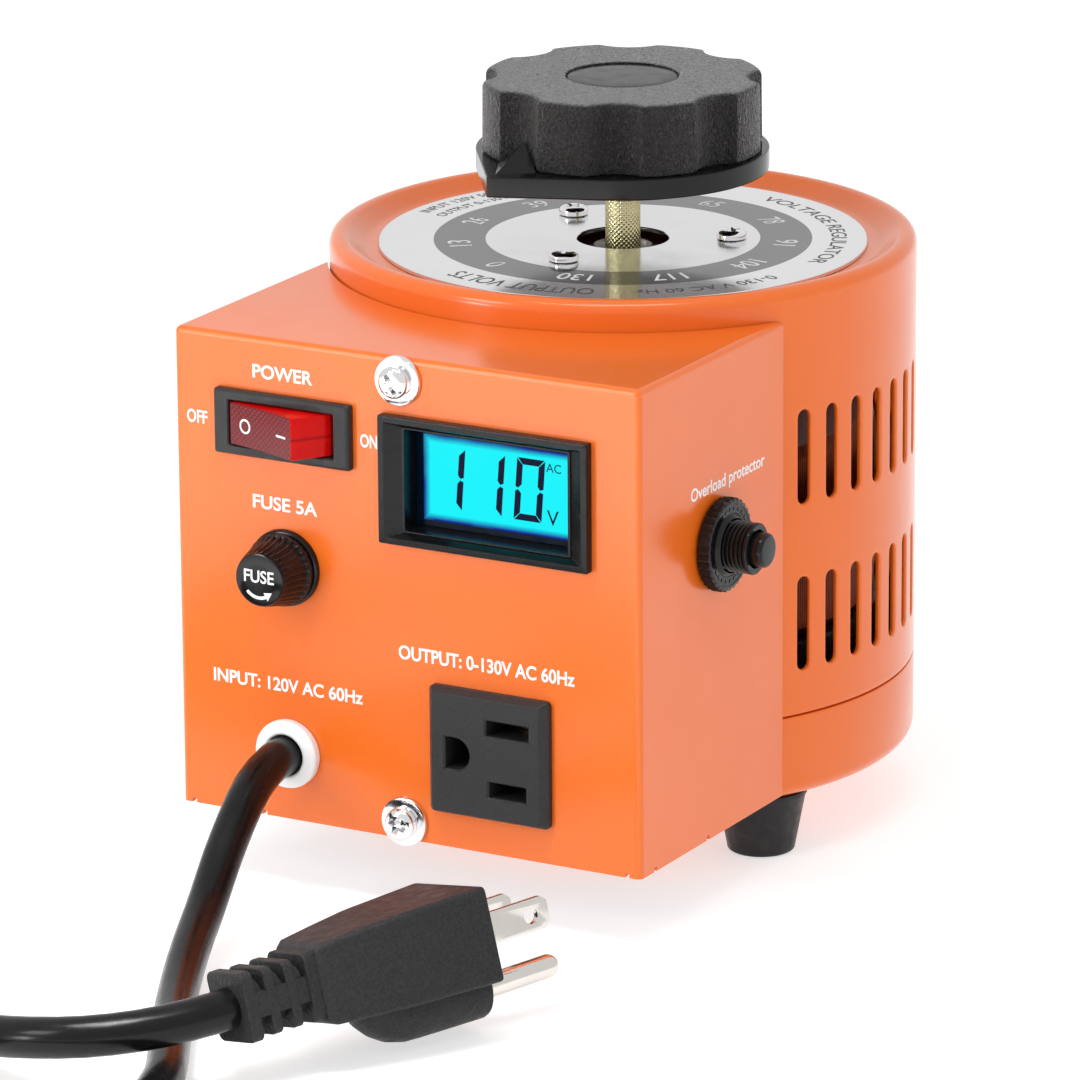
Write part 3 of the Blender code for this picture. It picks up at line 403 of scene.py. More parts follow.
def display_glow(low, high):
    """Back-lit liquid crystal: cyan, deep blue where the light fades at the edges."""
    p = Paint("display_glow", (0.0, 0.004, 0.010), 0.12, shine=0.06)
    x, y, z = p.axis()
    sides = p.math("MINIMUM", p.math("SUBTRACT", x, low.x + 1.7), p.math("SUBTRACT", high.x, x))
    ends = p.math("MINIMUM", p.math("SUBTRACT", z, low.z + 1.3), p.math("SUBTRACT", high.z - 1.0, z))
    edge = p.math("MINIMUM", sides, ends)
    mix = p.add("ShaderNodeMixRGB")
    mix.inputs[1].default_value = (0.0, 0.012, 0.32, 1)
    mix.inputs[2].default_value = (0.001, 0.93, 1.0, 1)
    p.link(p.ramp(edge, 0.2, 1.5), mix.inputs[0])
    glow = p.add("ShaderNodeMixRGB")
    glow.inputs[2].default_value = (0.012, 1.0, 1.0, 1)
    p.link(mix.outputs[0], glow.inputs[1])
    p.link(p.ramp(p.noise(0.05, 2), 0.45, 0.7, 0.0, 0.7), glow.inputs[0])
    dark = p.add("ShaderNodeMixRGB")
    dark.inputs[1].default_value = (0.0, 0.001, 0.004, 1)
    p.link(glow.outputs[0], dark.inputs[2])
    p.link(p.ramp(edge, -0.15, 0.1), dark.inputs[0])
    p.link(dark.outputs[0], p.shader.inputs["Emission Color"])
    p.shader.inputs["Emission Strength"].default_value = 0.95
    p.gloss(p.noise(0.3, 2), 0.08, 0.16)
    p.bump(p.noise(2.0, 1), 0.002)
    return p.mat


def white_plastic():
    p = Paint("white_plastic", (0.86, 0.86, 0.86), 0.35)
    p.shader.inputs["Subsurface Weight"].default_value = 0.15
    p.shader.inputs["Subsurface Radius"].default_value = (0.002, 0.002, 0.002)
    p.tint(p.ramp(p.noise(0.2, 3), 0.45, 0.8, 0.0, 0.4), (0.78, 0.78, 0.77))
    p.gloss(p.noise(0.4, 3), 0.28, 0.42)
    p.bump(p.noise(0.6, 2), 0.008)
    return p.mat


def ink(name, colour, rough=0.45, shine=0.5):
    p = Paint(name, colour, rough, shine=shine)
    p.tint(p.ramp(p.noise(0.8, 3), 0.5, 0.8, 0.0, 0.35), tuple(c * 0.85 for c in colour))
    p.gloss(p.noise(1.0, 2), rough - 0.08, rough + 0.1)
    p.bump(p.noise(2.5, 2), 0.004)
    return p.mat


def clear_glass():
    p = Paint("fuse_glass", (0.9, 0.95, 0.95), 0.03, ior=1.48)
    p.shader.inputs["Transmission Weight"].default_value = 0.9
    p.gloss(p.noise(0.6, 2), 0.02, 0.06)
    p.bump(p.noise(0.5, 2), 0.003)
    return p.mat


def plain(name, colour, rough, metallic=0.0, size=0.8, depth=0.02):
    p = Paint(name, colour, rough, metal=metallic)
    p.bump(p.noise(size, 3), depth)
    p.tint(p.ramp(p.noise(size * 0.4, 3), 0.4, 0.8, 0.0, 0.5), tuple(c * 0.7 for c in colour))
    p.gloss(p.noise(size * 0.7, 3), max(0.05, rough - 0.1), rough + 0.1)
    return p.mat


# ---------------------------------------------------------------- mesh helpers
def polar(r, degrees):
    a = math.radians(degrees)
    return r * math.cos(a), r * math.sin(a)


def arc(cx, cz, r, start, end, steps):
    """Points of an arc in a profile."""
    return [(cx + r * math.cos(math.radians(start + (end - start) * k / steps)),
             cz + r * math.sin(math.radians(start + (end - start) * k / steps))) for k in range(steps + 1)]


def turned(profile, segments, closed=True):
    """Solid turned about Z from an (r, z) profile."""
    bm = bmesh.new()
    rings = []
    for r, z in profile:
        if r < 1e-6:
            rings.append([bm.verts.new((0, 0, z))])
        else:
            rings.append([bm.verts.new((*polar(r, 360 * k / segments), z)) for k in range(segments)])
    pairs = list(zip(rings, rings[1:]))
    if closed and len(rings[0]) > 1:
        pairs.append((rings[-1], rings[0]))
    for one, two in pairs:
        for k in range(segments):
            n = (k + 1) % segments
            if len(one) == 1 and len(two) == 1:
                break
            if len(one) == 1:
                bm.faces.new((one[0], two[n], two[k]))
            elif len(two) == 1:
                bm.faces.new((one[k], one[n], two[0]))
            else:
                bm.faces.new((one[k], one[n], two[n], two[k]))
    return bm


def lofted(rings, caps=True):
    """Skin through rings of points that all hold the same count."""
    bm = bmesh.new()
    rows = [[bm.verts.new(p) for p in ring] for ring in rings]
    for one, two in zip(rows, rows[1:]):
        for k in range(len(one)):
            n = (k + 1) % len(one)
            bm.faces.new((one[k], one[n], two[n], two[k]))
    if caps:
        bm.faces.new(rows[0][::-1])
        bm.faces.new(rows[-1])
    return bm


def prism(outline, z0, z1):
    return lofted([[(x, y, z0) for x, y in outline], [(x, y, z1) for x, y in outline]])


def tube_of(rings):
    """Skin through rings of equal length that closes on itself: a frame or a band."""
    bm = bmesh.new()
    rows = [[bm.verts.new(point) for point in ring] for ring in rings]
    for one, two in zip(rows, rows[1:] + rows[:1]):
        for k in range(len(one)):
            n = (k + 1) % len(one)
            bm.faces.new((one[k], one[n], two[n], two[k]))
    return bm


def cuboid(x, y, z):
    return prism([(x[0], y[0]), (x[1], y[0]), (x[1], y[1]), (x[0], y[1])], *z)


def rounded_rect(hx, hy, r, steps=5):
    pts = []
    for cx, cy, a0 in ((hx - r, hy - r, 0), (r - hx, hy - r, 90), (r - hx, r - hy, 180), (hx - r, r - hy, 270)):
        for k in range(steps + 1):
            x, y = polar(r, a0 + 90 * k / steps)
            pts.append((cx + x, cy + y))
    return pts


def at_height(outline, z):
    return [(x, y, z) for x, y in outline]


def joined(parts):
    whole = bmesh.new()
    for part in parts:
        mesh = bpy.data.meshes.new("part")
        bmesh.ops.recalc_face_normals(part, faces=part.faces)
        part.to_mesh(mesh)
        part.free()
        whole.from_mesh(mesh)
        bpy.data.meshes.remove(mesh)
    return whole


def moved(bm, matrix):
    bm.transform(matrix)
    return bm


FRONT_TURN = Matrix.Rotation(math.pi / 2, 4, "X")
SIDE_TURN = Matrix.Rotation(math.pi / 2, 4, "Y")


def on_panel(x, z):
    """Local x, y become world x, z, and local z points out of the front panel."""
    return Matrix.Translation((x, PANEL_Y, z)) @ FRONT_TURN


def on_side(y, z):
    return Matrix.Translation((SIDE_X, y, z)) @ SIDE_TURN


def piece(name, bm, mats, body, place=None, smooth=35, replaces=(), weighted=False):
    """A finished piece: local millimetres to world metres, materials, body, and the CAD parts it replaces hidden."""
    if place is not None:
        bm.transform(place)
    bmesh.ops.recalc_face_normals(bm, faces=bm.faces)
    bm.transform(Matrix.Translation(AXIS) @ Matrix.Scale(MM, 4))
    mesh = bpy.data.meshes.new(name)
    bm.to_mesh(mesh)
    bm.free()
    obj = bpy.data.objects.new(name, mesh)
    bpy.context.scene.collection.objects.link(obj)
    for mat in (mats if isinstance(mats, (list, tuple)) else [mats]):
        mesh.materials.append(mat)
    if smooth is None:
        mesh.shade_flat()
    else:
        mesh.shade_smooth()
        mesh.set_sharp_from_angle(angle=math.radians(smooth))
    if weighted:
        even = obj.modifiers.new("even_normals", "WEIGHTED_NORMAL")
        even.keep_sharp = True
    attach(obj, body)
    if replaces:
        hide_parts(*([replaces] if isinstance(replaces, str) else replaces))
    return obj


def cut(bm, cutter, kind="DIFFERENCE"):
    """Boolean of two bmeshes, both in the same millimetres."""
    objs = []
    for part in (bm, cutter):
        mesh = bpy.data.meshes.new("work")
        bmesh.ops.recalc_face_normals(part, faces=part.faces)
        part.to_mesh(mesh)
        part.free()
        objs.append(bpy.data.objects.new("work", mesh))
        bpy.context.scene.collection.objects.link(objs[-1])
    mod = objs[0].modifiers.new("cut", "BOOLEAN")
    mod.operation = kind
    mod.solver = "EXACT"
    mod.object = objs[1]
    bpy.context.view_layer.update()
    mesh = bpy.data.meshes.new_from_object(objs[0].evaluated_get(bpy.context.evaluated_depsgraph_get()))
    result = bmesh.new()
    result.from_mesh(mesh)
    for obj in objs:
        data = obj.data
        bpy.data.objects.remove(obj, do_unlink=True)
        bpy.data.meshes.remove(data)
    bpy.data.meshes.remove(mesh)
    return result


def softened(bm, width, segments=2, limit=40):
    """Round every edge that is sharper than the limit."""
    edges = [e for e in bm.edges if len(e.link_faces) == 2 and e.calc_face_angle(0) > math.radians(limit)]
    bmesh.ops.bevel(bm, geom=edges, offset=width, segments=segments, affect="EDGES", profile=0.5,
                    clamp_overlap=True)
    return bm


def lettering(text, height, width=None, bold=0.0, deep=0.03):
    """Flat raised letters, centred on the origin in local x, y, standing on z = 0."""
    curve = bpy.data.curves.new("letters", "FONT")
    curve.body = text
    curve.size = 10
    curve.offset = bold
    curve.resolution_u = 6
    curve.extrude = 0.5
    obj = bpy.data.objects.new("letters", curve)
    bpy.context.scene.collection.objects.link(obj)
    bpy.context.view_layer.update()
    mesh = bpy.data.meshes.new_from_object(obj.evaluated_get(bpy.context.evaluated_depsgraph_get()))
    bm = bmesh.new()
    bm.from_mesh(mesh)
    bpy.data.objects.remove(obj, do_unlink=True)
    bpy.data.curves.remove(curve)
    bpy.data.meshes.remove(mesh)
    bmesh.ops.remove_doubles(bm, verts=bm.verts, dist=1e-4)
    xs = [v.co.x for v in bm.verts]
    ys = [v.co.y for v in bm.verts]
    low_y = 0.0
    tall = (max(ys) - low_y) if "p" not in text else 7.3
    across = max(xs) - min(xs)
    sy = height / tall
    sx = width / across if width else sy
    mid = (max(xs) + min(xs)) / 2
    for v in bm.verts:
        v.co = ((v.co.x - mid) * sx, (v.co.y - low_y) * sy - height / 2, (v.co.z + 0.5) * deep)
    return bm


def round_the_dial(bm, radius, degrees, z):
    """Bend letters onto a circle: their tops point outwards, and they read clockwise from above."""
    for v in bm.verts:
        a = math.radians(degrees) - v.co.x / radius
        r = radius + v.co.y
        v.co = (r * math.cos(a), r * math.sin(a), z + v.co.z)
    return bm


# ---------------------------------------------------------------- drum
SLOT_PITCH, SLOT_COUNT, SLOT_W, SLOT_L = 7.14, 33, 3.1, 19.8
SLOT_ROWS = (50.5, 85.5)
CELL_COLS, CELL_ROWS = 6, 8


def drum_cells():
    """Start and width in degrees of every upright strip of the wall, and whether it is slotted."""
    first = 90 - SLOT_PITCH * (SLOT_COUNT - 1) / 2 - SLOT_PITCH / 2
    cells = [(first + SLOT_PITCH * k, SLOT_PITCH, True) for k in range(SLOT_COUNT)]
    rest = 360 - SLOT_PITCH * SLOT_COUNT
    plain_count = 18
    start = first + SLOT_PITCH * SLOT_COUNT
    cells += [(start + rest / plain_count * k, rest / plain_count, False) for k in range(plain_count)]
    return cells


def drum():
    """Slotted wall with a rolled rim and the sunk ledge under the dial, one closed skin."""
    cells = drum_cells()
    columns = [start + width * c / CELL_COLS for start, width, _ in cells for c in range(CELL_COLS)]
    bm = bmesh.new()
    store = {}

    def vert(angle, r, z):
        key = (round(angle % 360, 5), round(r, 4), round(z, 4))
        if key not in store:
            store[key] = bm.verts.new((*polar(r, angle), z))
        return store[key]

    def skin(levels):
        for (r0, z0), (r1, z1) in zip(levels, levels[1:]):
            for k, a in enumerate(columns):
                b = columns[(k + 1) % len(columns)]
                corners = (vert(a, r0, z0), vert(b, r0, z0), vert(b, r1, z1), vert(a, r1, z1))
                bm.faces.new(corners)

    z0, top = shell_low.z, LEDGE_Z
    R, inner = DRUM_R, DRUM_R - WALL
    half_band = 13.0
    bands = [(row - half_band, row + half_band) for row in SLOT_ROWS]

    def grid_z(low, high):
        return [low + (high - low) * k / CELL_ROWS for k in range(CELL_ROWS + 1)]

    # outside, below and between the slots
    skin([(inner, z0), (R - 0.35, z0), (R - 0.1, z0 + 0.1), (R, z0 + 0.35), (R, z0 + 1.2), (R, bands[0][0])])
    skin([(R, bands[0][1]), (R, bands[1][0])])
    rim = arc(R - 2.5, top + 0.4, 2.5, 0, 128, 14)
    slope = [(54.6, top + 0.95), (53.7, top + 0.42), (53.0, top + 0.12), (52.2, top)]
    skin([(R, bands[1][1]), (R, top - 1.5)] + rim + slope + [(14.3, top), (14.0, top - 0.3), (14.0, top - 0.9),
                                                           (14.3, top - WALL), (57.0, top - WALL),
                                                           (58.6, top - 2.0), (inner, top - 3.4),
                                                           (inner, bands[1][1])])
    skin([(inner, bands[1][0]), (inner, bands[0][1])])
    skin([(inner, bands[0][0]), (inner, z0)])

    # slot bands
    lips = [(1.15, R), (0.62, R), (0.34, R - 0.02), (0.12, R - 0.12), (0.0, R - 0.34), (0.0, inner + 0.2),
            (0.2, inner)]
    for row, (low, high) in zip(SLOT_ROWS, bands):
        levels = grid_z(low, high)
        for start, width, slotted in cells:
            angles = [start + width * c / CELL_COLS for c in range(CELL_COLS + 1)]
            if not slotted:
                for za, zb in zip(levels, levels[1:]):
                    for a, b in zip(angles, angles[1:]):
                        for r in (R, inner):
                            bm.faces.new((vert(a, r, za), vert(b, r, za), vert(b, r, zb), vert(a, r, zb)))
                continue
            frame_pts = ([(a, low) for a in angles] + [(angles[-1], z) for z in levels[1:-1]]
                         + [(a, high) for a in reversed(angles)] + [(angles[0], z) for z in levels[-2:0:-1]])
            straight = SLOT_L / 2 - SLOT_W / 2
            mid = start + width / 2
            shape = [(270 - 90 + 30 * k, -straight) for k in range(7)]
            right = [(0, -straight + 2 * straight * k / CELL_ROWS) for k in range(1, CELL_ROWS)]
            shape += right
            shape += [(30 * k, straight) for k in range(7)]
            shape += [(180, -z) for _, z in right]
            rings = [[vert(a, R, z) for a, z in frame_pts]]
            for grow, r in lips:
                ring = []
                for a, z in shape:
                    dx, dz = polar(SLOT_W / 2 + grow, a)
                    ring.append(vert(mid + math.degrees(dx / R), r, row + z + dz))
                rings.append(ring)
            rings.append([vert(a, inner, z) for a, z in frame_pts])
            for one, two in zip(rings, rings[1:]):
                for k in range(len(one)):
                    n = (k + 1) % len(one)
                    bm.faces.new((one[k], one[n], two[n], two[k]))
    piece("drum_wall", bm, ORANGE, "case", smooth=50, replaces="drum_shell")


def base():
    z = pan_low.z
    R, seam = DRUM_R, span("drum_shell")[0].z - 0.3
    profile = [(0, z), (56.9, z)] + arc(57.3, z + 3.2, 3.2, -90, 0, 8) + [(R, seam - 0.5), (R - 0.12, seam - 0.12),
               (R - 0.5, seam), (R - 1.6, seam), (R - 1.6, seam + 5), (R - 2.8, seam + 5), (R - 2.8, z + 2.4),
               (R - 4.2, z + WALL), (0, z + WALL)]
    piece("drum_base", turned(profile, 240), ORANGE, "case", smooth=40,
          replaces="base_pan")
    for name in ("foot_right", "foot_left", "foot_back"):
        c = centre(name)
        top = span(name)[1].z
        profile = [(0, 0.9), (2.6, 0.9), (3.0, 0.15), (3.3, 0)] + arc(6.2, 0.8, 0.8, -90, 0, 4)
        profile += [(9.1, top - 1.6), (9.45, top - 1.1), (9.5, top - 0.2), (9.2, top), (0, top)]
        piece(name + "_pad", turned(profile, 72), RUBBER, "case", Matrix.Translation((c.x, c.y, 0)),
              replaces=name)


# ---------------------------------------------------------------- control box
def control_box():
    bend = 1.3
    w, f = SIDE_X, -PANEL_Y
    bm = cuboid((-w, w), (-f, -20), (BOX_Z0, BOX_Z1))
    edges = []
    for e in bm.edges:
        a, b = (v.co for v in e.verts)
        upright = abs(a.z - b.z) > 1 and a.y < -f + 1
        top = a.z > BOX_Z1 - 1 and b.z > BOX_Z1 - 1 and not (a.y > -30 and b.y > -30)
        if upright or top:
            edges.append(e)
    bmesh.ops.bevel(bm, geom=edges, offset=bend, segments=5, affect="EDGES", profile=0.5)
    bm = cut(bm, cuboid((-w + WALL, w - WALL), (-f + WALL, 5), (BOX_Z0 - 5, BOX_Z1 - WALL)))
    bm = cut(bm, turned([(0, 5), (DRUM_R + 0.4, 5), (DRUM_R + 0.4, 125), (0, 125)], 240))
    holes = []
    for node, hx, hz in (("switch_housing", 13.7, 6.0), ("meter_bezel", 22.3, 12.3), ("outlet", 12.4, 11.9)):
        c = centre(node)
        holes.append(cuboid((c.x - hx, c.x + hx), (-f - 3, -f + 3), (c.z - hz, c.z + hz)))
    for node, r in (("fuse_cap", 6.3), ("cord_grommet", 6.0), ("front_screw_top", 2.4), ("front_screw_low", 2.4)):
        c = centre(node)
        holes.append(moved(turned([(0, -3), (r, -3), (r, 3), (0, 3)], 48), on_panel(c.x, c.z)))
    c = centre("breaker_nut")
    holes.append(moved(turned([(0, -3), (5.6, -3), (5.6, 3), (0, 3)], 48), on_side(c.y, c.z)))
    # little relief nicks where the sheet's bottom flanges start and stop
    for x in (-50.2, -33.5, 49.9):
        holes.append(cuboid((x - 0.5, x + 0.5), (-f - 1, -f + 2), (BOX_Z0 - 1, BOX_Z0 + 0.9)))
    for y in (-84.0, -62.0):
        for side in (-1, 1):
            holes.append(cuboid((side * w - 2, side * w + 2), (y - 0.6, y + 0.6), (BOX_Z0 - 1, BOX_Z0 + 0.9)))
    bm = cut(bm, joined(holes))
    piece("front_cover", bm, ORANGE, "case", smooth=32, replaces="front_box", weighted=True)


def washers_and_screws():
    for tag in ("top", "low"):
        c = centre(f"front_screw_{tag}")
        at = on_panel(c.x, c.z)
        low, high = span(f"front_washer_{tag}")
        r = (high.x - low.x) / 2
        profile = [(2.3, 0.1), (r, 0.1), (r, 0.75), (r - 0.18, 1.02), (r - 0.5, 1.1), (2.3, 1.1)]
        piece(f"panel_washer_{tag}", turned(profile, 72), CHROME, "case", at,
              replaces=f"front_washer_{tag}")
        seat = -PANEL_Y - 1.2 + PANEL_Y
        screw(f"panel_screw_{tag}", 3.3, 2.5, 1.6, 7.5, at @ Matrix.Translation((0, 0, -seat)) @
              Matrix.Rotation(0.5 if tag == "top" else 1.2, 4, "Z"), f"front_screw_{tag}")
    for k in (1, 2, 3):
        c = centre(f"dial_screw_{k}")
        at = Matrix.Translation((c.x, c.y, DIAL_Z + 0.1)) @ Matrix.Rotation(0.4 * k, 4, "Z")
        screw(f"scale_screw_{k}", 3.1, 1.9, 1.35, 9.0, at, f"dial_screw_{k}")


def screw(name, head_r, head_h, shank_r, length, at, node):
    """Cross-recess pan head with a flat-sided skirt and a domed crown."""
    crown = []
    for k in range(10):
        t = math.pi / 2 * k / 9
        crown.append((head_r * (0.50 + 0.50 * math.cos(t)), head_h * (0.40 + 0.56 * math.sin(t))))
    crown += [(head_r * 0.25, head_h * 0.99), (0, head_h)]
    profile = [(0, -length), (shank_r, -length), (shank_r, 0), (head_r - 0.15, 0), (head_r, 0.15)] + crown
    bm = turned(profile, 48, closed=False)
    arm, wide = head_r * 0.60, head_r * 0.155
    plus = [(arm, -wide), (arm, wide), (wide * 1.4, wide * 1.4), (wide, arm), (-wide, arm),
            (-wide * 1.4, wide * 1.4), (-arm, wide), (-arm, -wide), (-wide * 1.4, -wide * 1.4), (-wide, -arm),
            (wide, -arm), (wide * 1.4, -wide * 1.4)]
    small = [(x * 0.55, y * 0.7) for x, y in plus]
    tool = lofted([at_height(small, head_h * 0.30), at_height(plus, head_h * 0.98), at_height(plus, head_h + 1)])
    bm = cut(bm, tool)
    piece(name, bm, CHROME, "case", at, smooth=38, replaces=node)


# ---------------------------------------------------------------- panel fittings
def power_switch():
    c = centre("switch_housing")
    at = on_panel(c.x, c.z)
    low, high = span("switch_housing")
    hx, hy = (high.x - low.x) / 2, (high.z - low.z) / 2
    front = PANEL_Y - low.y
    rings = [at_height(rounded_rect(hx, hy, 0.5, 3), 0.1), at_height(rounded_rect(hx, hy, 0.5, 3), front - 0.75),
             at_height(rounded_rect(hx - 0.12, hy - 0.12, 0.5, 3), front - 0.45),
             at_height(rounded_rect(hx - 0.5, hy - 0.5, 0.5, 3), front - 0.08),
             at_height(rounded_rect(hx - 0.8, hy - 0.8, 0.5, 3), front)]
    bm = lofted(rings)
    bm = cut(bm, cuboid((-13.4, 13.4), (-5.7, 5.7), (-16.5, 0.6)), "UNION")
    opening = [at_height(rounded_rect(12.1, 4.6, 0.3, 2), -14), at_height(rounded_rect(12.1, 4.6, 0.3, 2), front - 0.3),
               at_height(rounded_rect(12.35, 4.85, 0.3, 2), front), at_height(rounded_rect(12.35, 4.85, 0.3, 2), 6)]
    bm = cut(bm, lofted(opening))
    piece("switch_frame", bm, GRAIN, "case", at, smooth=30, replaces="switch_housing",
          weighted=True)

    # paddle section in local x and height; the dished face runs between the two ridges
    ridge_x, ridge_h = 9.0, 9.4
    tilt = math.radians(ROCKER_TILT)
    lean = Matrix.Rotation(tilt, 2)

    def face_h(x):
        return ridge_h - 0.38 * (1 - (x / ridge_x) ** 2)

    face = [(ridge_x * (1 - k / 6), face_h(ridge_x * (1 - k / 6))) for k in range(13)]
    right = [(11.75, 1.2), (10.9, 3.9), (9.25, 9.1), (9.12, 9.32)]
    left = [(-a, b) for a, b in reversed(right)]
    section = right + face + left + [(-9.5, -3.9), (-4.0, -5.9), (4.0, -5.9), (9.5, -3.9)]
    rings = []
    for y, inset in ((-4.3, 0.2), (-4.22, 0.06), (-4.05, 0.0), (4.05, 0.0), (4.22, 0.06), (4.3, 0.2)):
        ring = []
        for a, b in section:
            point = lean @ Vector((a * (1 - inset / 12), b * (1 - inset / 9.5)))
            ring.append((point.x, y, point.y + ROCKER_PIVOT))
        rings.append(ring)
    bm = lofted(rings)
    back = lean.inverted()
    for f in bm.faces:
        m = f.calc_center_median()
        flat = back @ Vector((m.x, m.z - ROCKER_PIVOT))
        f.material_index = 0 if flat.y > 8.7 and abs(flat.x) < ridge_x - 0.05 else 1
    piece("rocker_paddle", bm, [RED_DOTS, RED_LENS], "rocker", at, smooth=30,
          replaces="switch_rocker")
    lay = at @ Matrix.Translation((0, 0, ROCKER_PIVOT)) @ Matrix.Rotation(-tilt, 4, "Y")
    ring = turned([(1.12, -0.1), (1.12, 0.05), (1.52, 0.05), (1.52, -0.1)], 40)
    slope = Matrix.Rotation(0.046, 4, "Y")
    piece("rocker_mark_off", ring, WHITE_INK, "rocker", lay @ Matrix.Translation((-4.9, 0, face_h(4.9) + 0.01)) @
          slope)
    bar = cuboid((-1.45, 1.45), (-0.22, 0.22), (-0.1, 0.05))
    piece("rocker_mark_on", bar, WHITE_INK, "rocker", lay @ Matrix.Translation((5.9, 0, face_h(5.9) + 0.01)) @
          slope.inverted())


def meter():
    c = centre("meter_bezel")
    low, high = span("meter_bezel")
    at = on_panel(c.x, c.z)
    hx, hy, front = (high.x - low.x) / 2, (high.z - low.z) / 2, PANEL_Y - low.y
    back = PANEL_Y - high.y
    lcd_low, lcd_high = span("meter_display")
    lcd_front = PANEL_Y - lcd_low.y
    wx, wy = (lcd_high.x - lcd_low.x) / 2, (lcd_high.z - lcd_low.z) / 2
    wide_x, wide_y = hx - wx - 0.1, hy - wy - 0.1

    def ring(inset, z, r=0.35):
        return at_height(rounded_rect(hx - inset, hy - inset, max(r, 0.05), 3), z)

    # outside, over the front lip, down the sloping walls to an inner frame, then into the well
    outside = [ring(1.6, back), ring(1.6, 0.1), ring(0.0, 0.1), ring(0.0, front - 0.35), ring(0.1, front - 0.1),
               ring(0.32, front), ring(1.35, front), ring(1.5, front - 0.12)]
    inside = []
    for inset_x, inset_y, z in ((4.5, 2.35, front - 1.9), (4.62, 2.42, front - 1.72), (5.15, 2.70, front - 1.72),
                                (5.28, 2.80, front - 1.95), (wide_x, wide_y, lcd_front + 0.3),
                                (wide_x, wide_y, lcd_front - 1.5)):
        inside.append(at_height(rounded_rect(hx - inset_x, hy - inset_y, 0.3, 3), z))
    inside.append(at_height(rounded_rect(hx - wide_x, hy - wide_y, 0.3, 3), back))
    piece("meter_frame", tube_of(outside + inside), METER_BLACK, "case", at, smooth=28,
          replaces="meter_bezel", weighted=True)
    glow = display_glow(lcd_low, lcd_high)
    bm = softened(cuboid((-wx, wx), (-wy, wy), (lcd_front - 1.4, lcd_front)), 0.12, 1)
    piece("meter_glass", bm, glow, "case", at, smooth=None, replaces="meter_display")
    digits = []
    for x, lit in ((-13.5, "bc"), (-4.5, "bc"), (4.5, "abcdef")):
        digits += seven_segments(x, 0.5, 6.3, 12.8, lit)
    dark = joined(digits)
    piece("meter_digits", dark, LCD_INK, "case", at @ Matrix.Translation((0, 0, lcd_front + 0.01)), smooth=None)
    for name, text, tall, x, y in (("meter_unit_ac", "AC", 1.75, 13.15, 5.6), ("meter_unit_v", "V", 3.0, 12.9, -4.55)):
        bm = lettering(text, tall, deep=0.02)
        piece(name, bm, LCD_INK, "case", at @ Matrix.Translation((x, y, lcd_front + 0.01)), smooth=None)


def seven_segments(x, y, wide, tall, lit):
    """Slanted segments of one digit whose right-hand stroke stands at x + wide."""
    t, gap, slant = 1.35, 0.16, 0.075
    h = tall / 2
    left, right, mid = 0.0, wide, 0.0
    shapes = {
        "a": [(left + gap, h), (right - gap, h), (right - t, h - t), (left + t, h - t)],
        "d": [(left + t, -h + t), (right - t, -h + t), (right - gap, -h), (left + gap, -h)],
        "b": [(right, h - gap), (right, gap + 0.3), (right - t * 0.55, gap), (right - t, gap + t * 0.55),
              (right - t, h - t - gap)],
        "c": [(right, -gap - 0.3), (right, -h + gap), (right - t, -h + t + gap), (right - t, -gap - t * 0.55),
              (right - t * 0.55, -gap)],
        "e": [(left, -gap - 0.3), (left + t * 0.45, -gap), (left + t, -gap - t * 0.55), (left + t, -h + t + gap),
              (left, -h + gap)],
        "f": [(left, h - gap), (left + t, h - t - gap), (left + t, gap + t * 0.55), (left + t * 0.45, gap),
              (left, gap + 0.3)],
    }
    made = []
    for key in lit:
        pts = [(x + a + slant * b * 1.0, y + b) for a, b in shapes[key]]
        made.append(prism(pts, mid, 0.03))
    return made


def fuse_holder():
    c = centre("fuse_cap")
    at = on_panel(c.x, c.z)
    profile = [(3.6, -26.5), (5.9, -26.5), (5.9, 0.1), (7.9, 0.1), (7.9, 0.85), (7.75, 1.15), (7.4, 1.3), (3.6, 1.3)]
    piece("fuse_socket", turned(profile, 72), GLOSS, "case", at, replaces="fuse_body")
    ribs, steps, rings = 30, 6, []
    for r, z, deep in ((6.9, 1.6, 0.0), (7.25, 1.62, 0.0), (7.4, 1.8, 0.0), (7.4, 3.0, 0.0), (7.15, 3.35, 0.30),
                       (6.75, 5.2, 0.42), (6.15, 7.9, 0.38), (5.75, 9.5, 0.26), (5.55, 9.75, 0.0), (5.5, 10.1, 0.0),
                       (5.38, 10.33, 0.0), (5.15, 10.4, 0.0), (3.0, 10.4, 0.0), (0.6, 10.4, 0.0)):
        ring = []
        for k in range(ribs * steps):
            dip = 0.5 - 0.5 * math.cos(2 * math.pi * k / steps)
            ring.append((*polar(r - deep * dip ** 1.5, 360 * k / (ribs * steps)), z))
        rings.append(ring)
    bm = lofted(rings)
    stem = turned([(0, -1.1), (3.4, -1.1), (3.4, 2.5), (0, 2.5)], 32)
    bm = cut(bm, stem, "UNION")
    piece("fuse_knob", bm, GLOSS, "fuse_cap", at, smooth=40, replaces="fuse_cap")
    face = at @ Matrix.Translation((0, 0, 10.41))
    piece("fuse_word", lettering("FUSE", 2.55, 6.9, bold=0.16), WHITE_INK, "fuse_cap",
          face @ Matrix.Translation((0, 0.75, 0)), smooth=None)
    arrow = []
    for k in range(13):
        arrow.append(polar(4.0, 222 + 78 * k / 12))
    back = [polar(3.35, 300 - 78 * k / 12) for k in range(13)]
    head = [polar(4.55, 296), polar(3.75, 322), polar(2.75, 292)]
    shaft = prism(arrow + back, 0, 0.03)
    tip = prism(head, 0, 0.031)
    piece("fuse_arrow", joined([shaft, tip]), WHITE_INK, "fuse_cap", face, smooth=None)


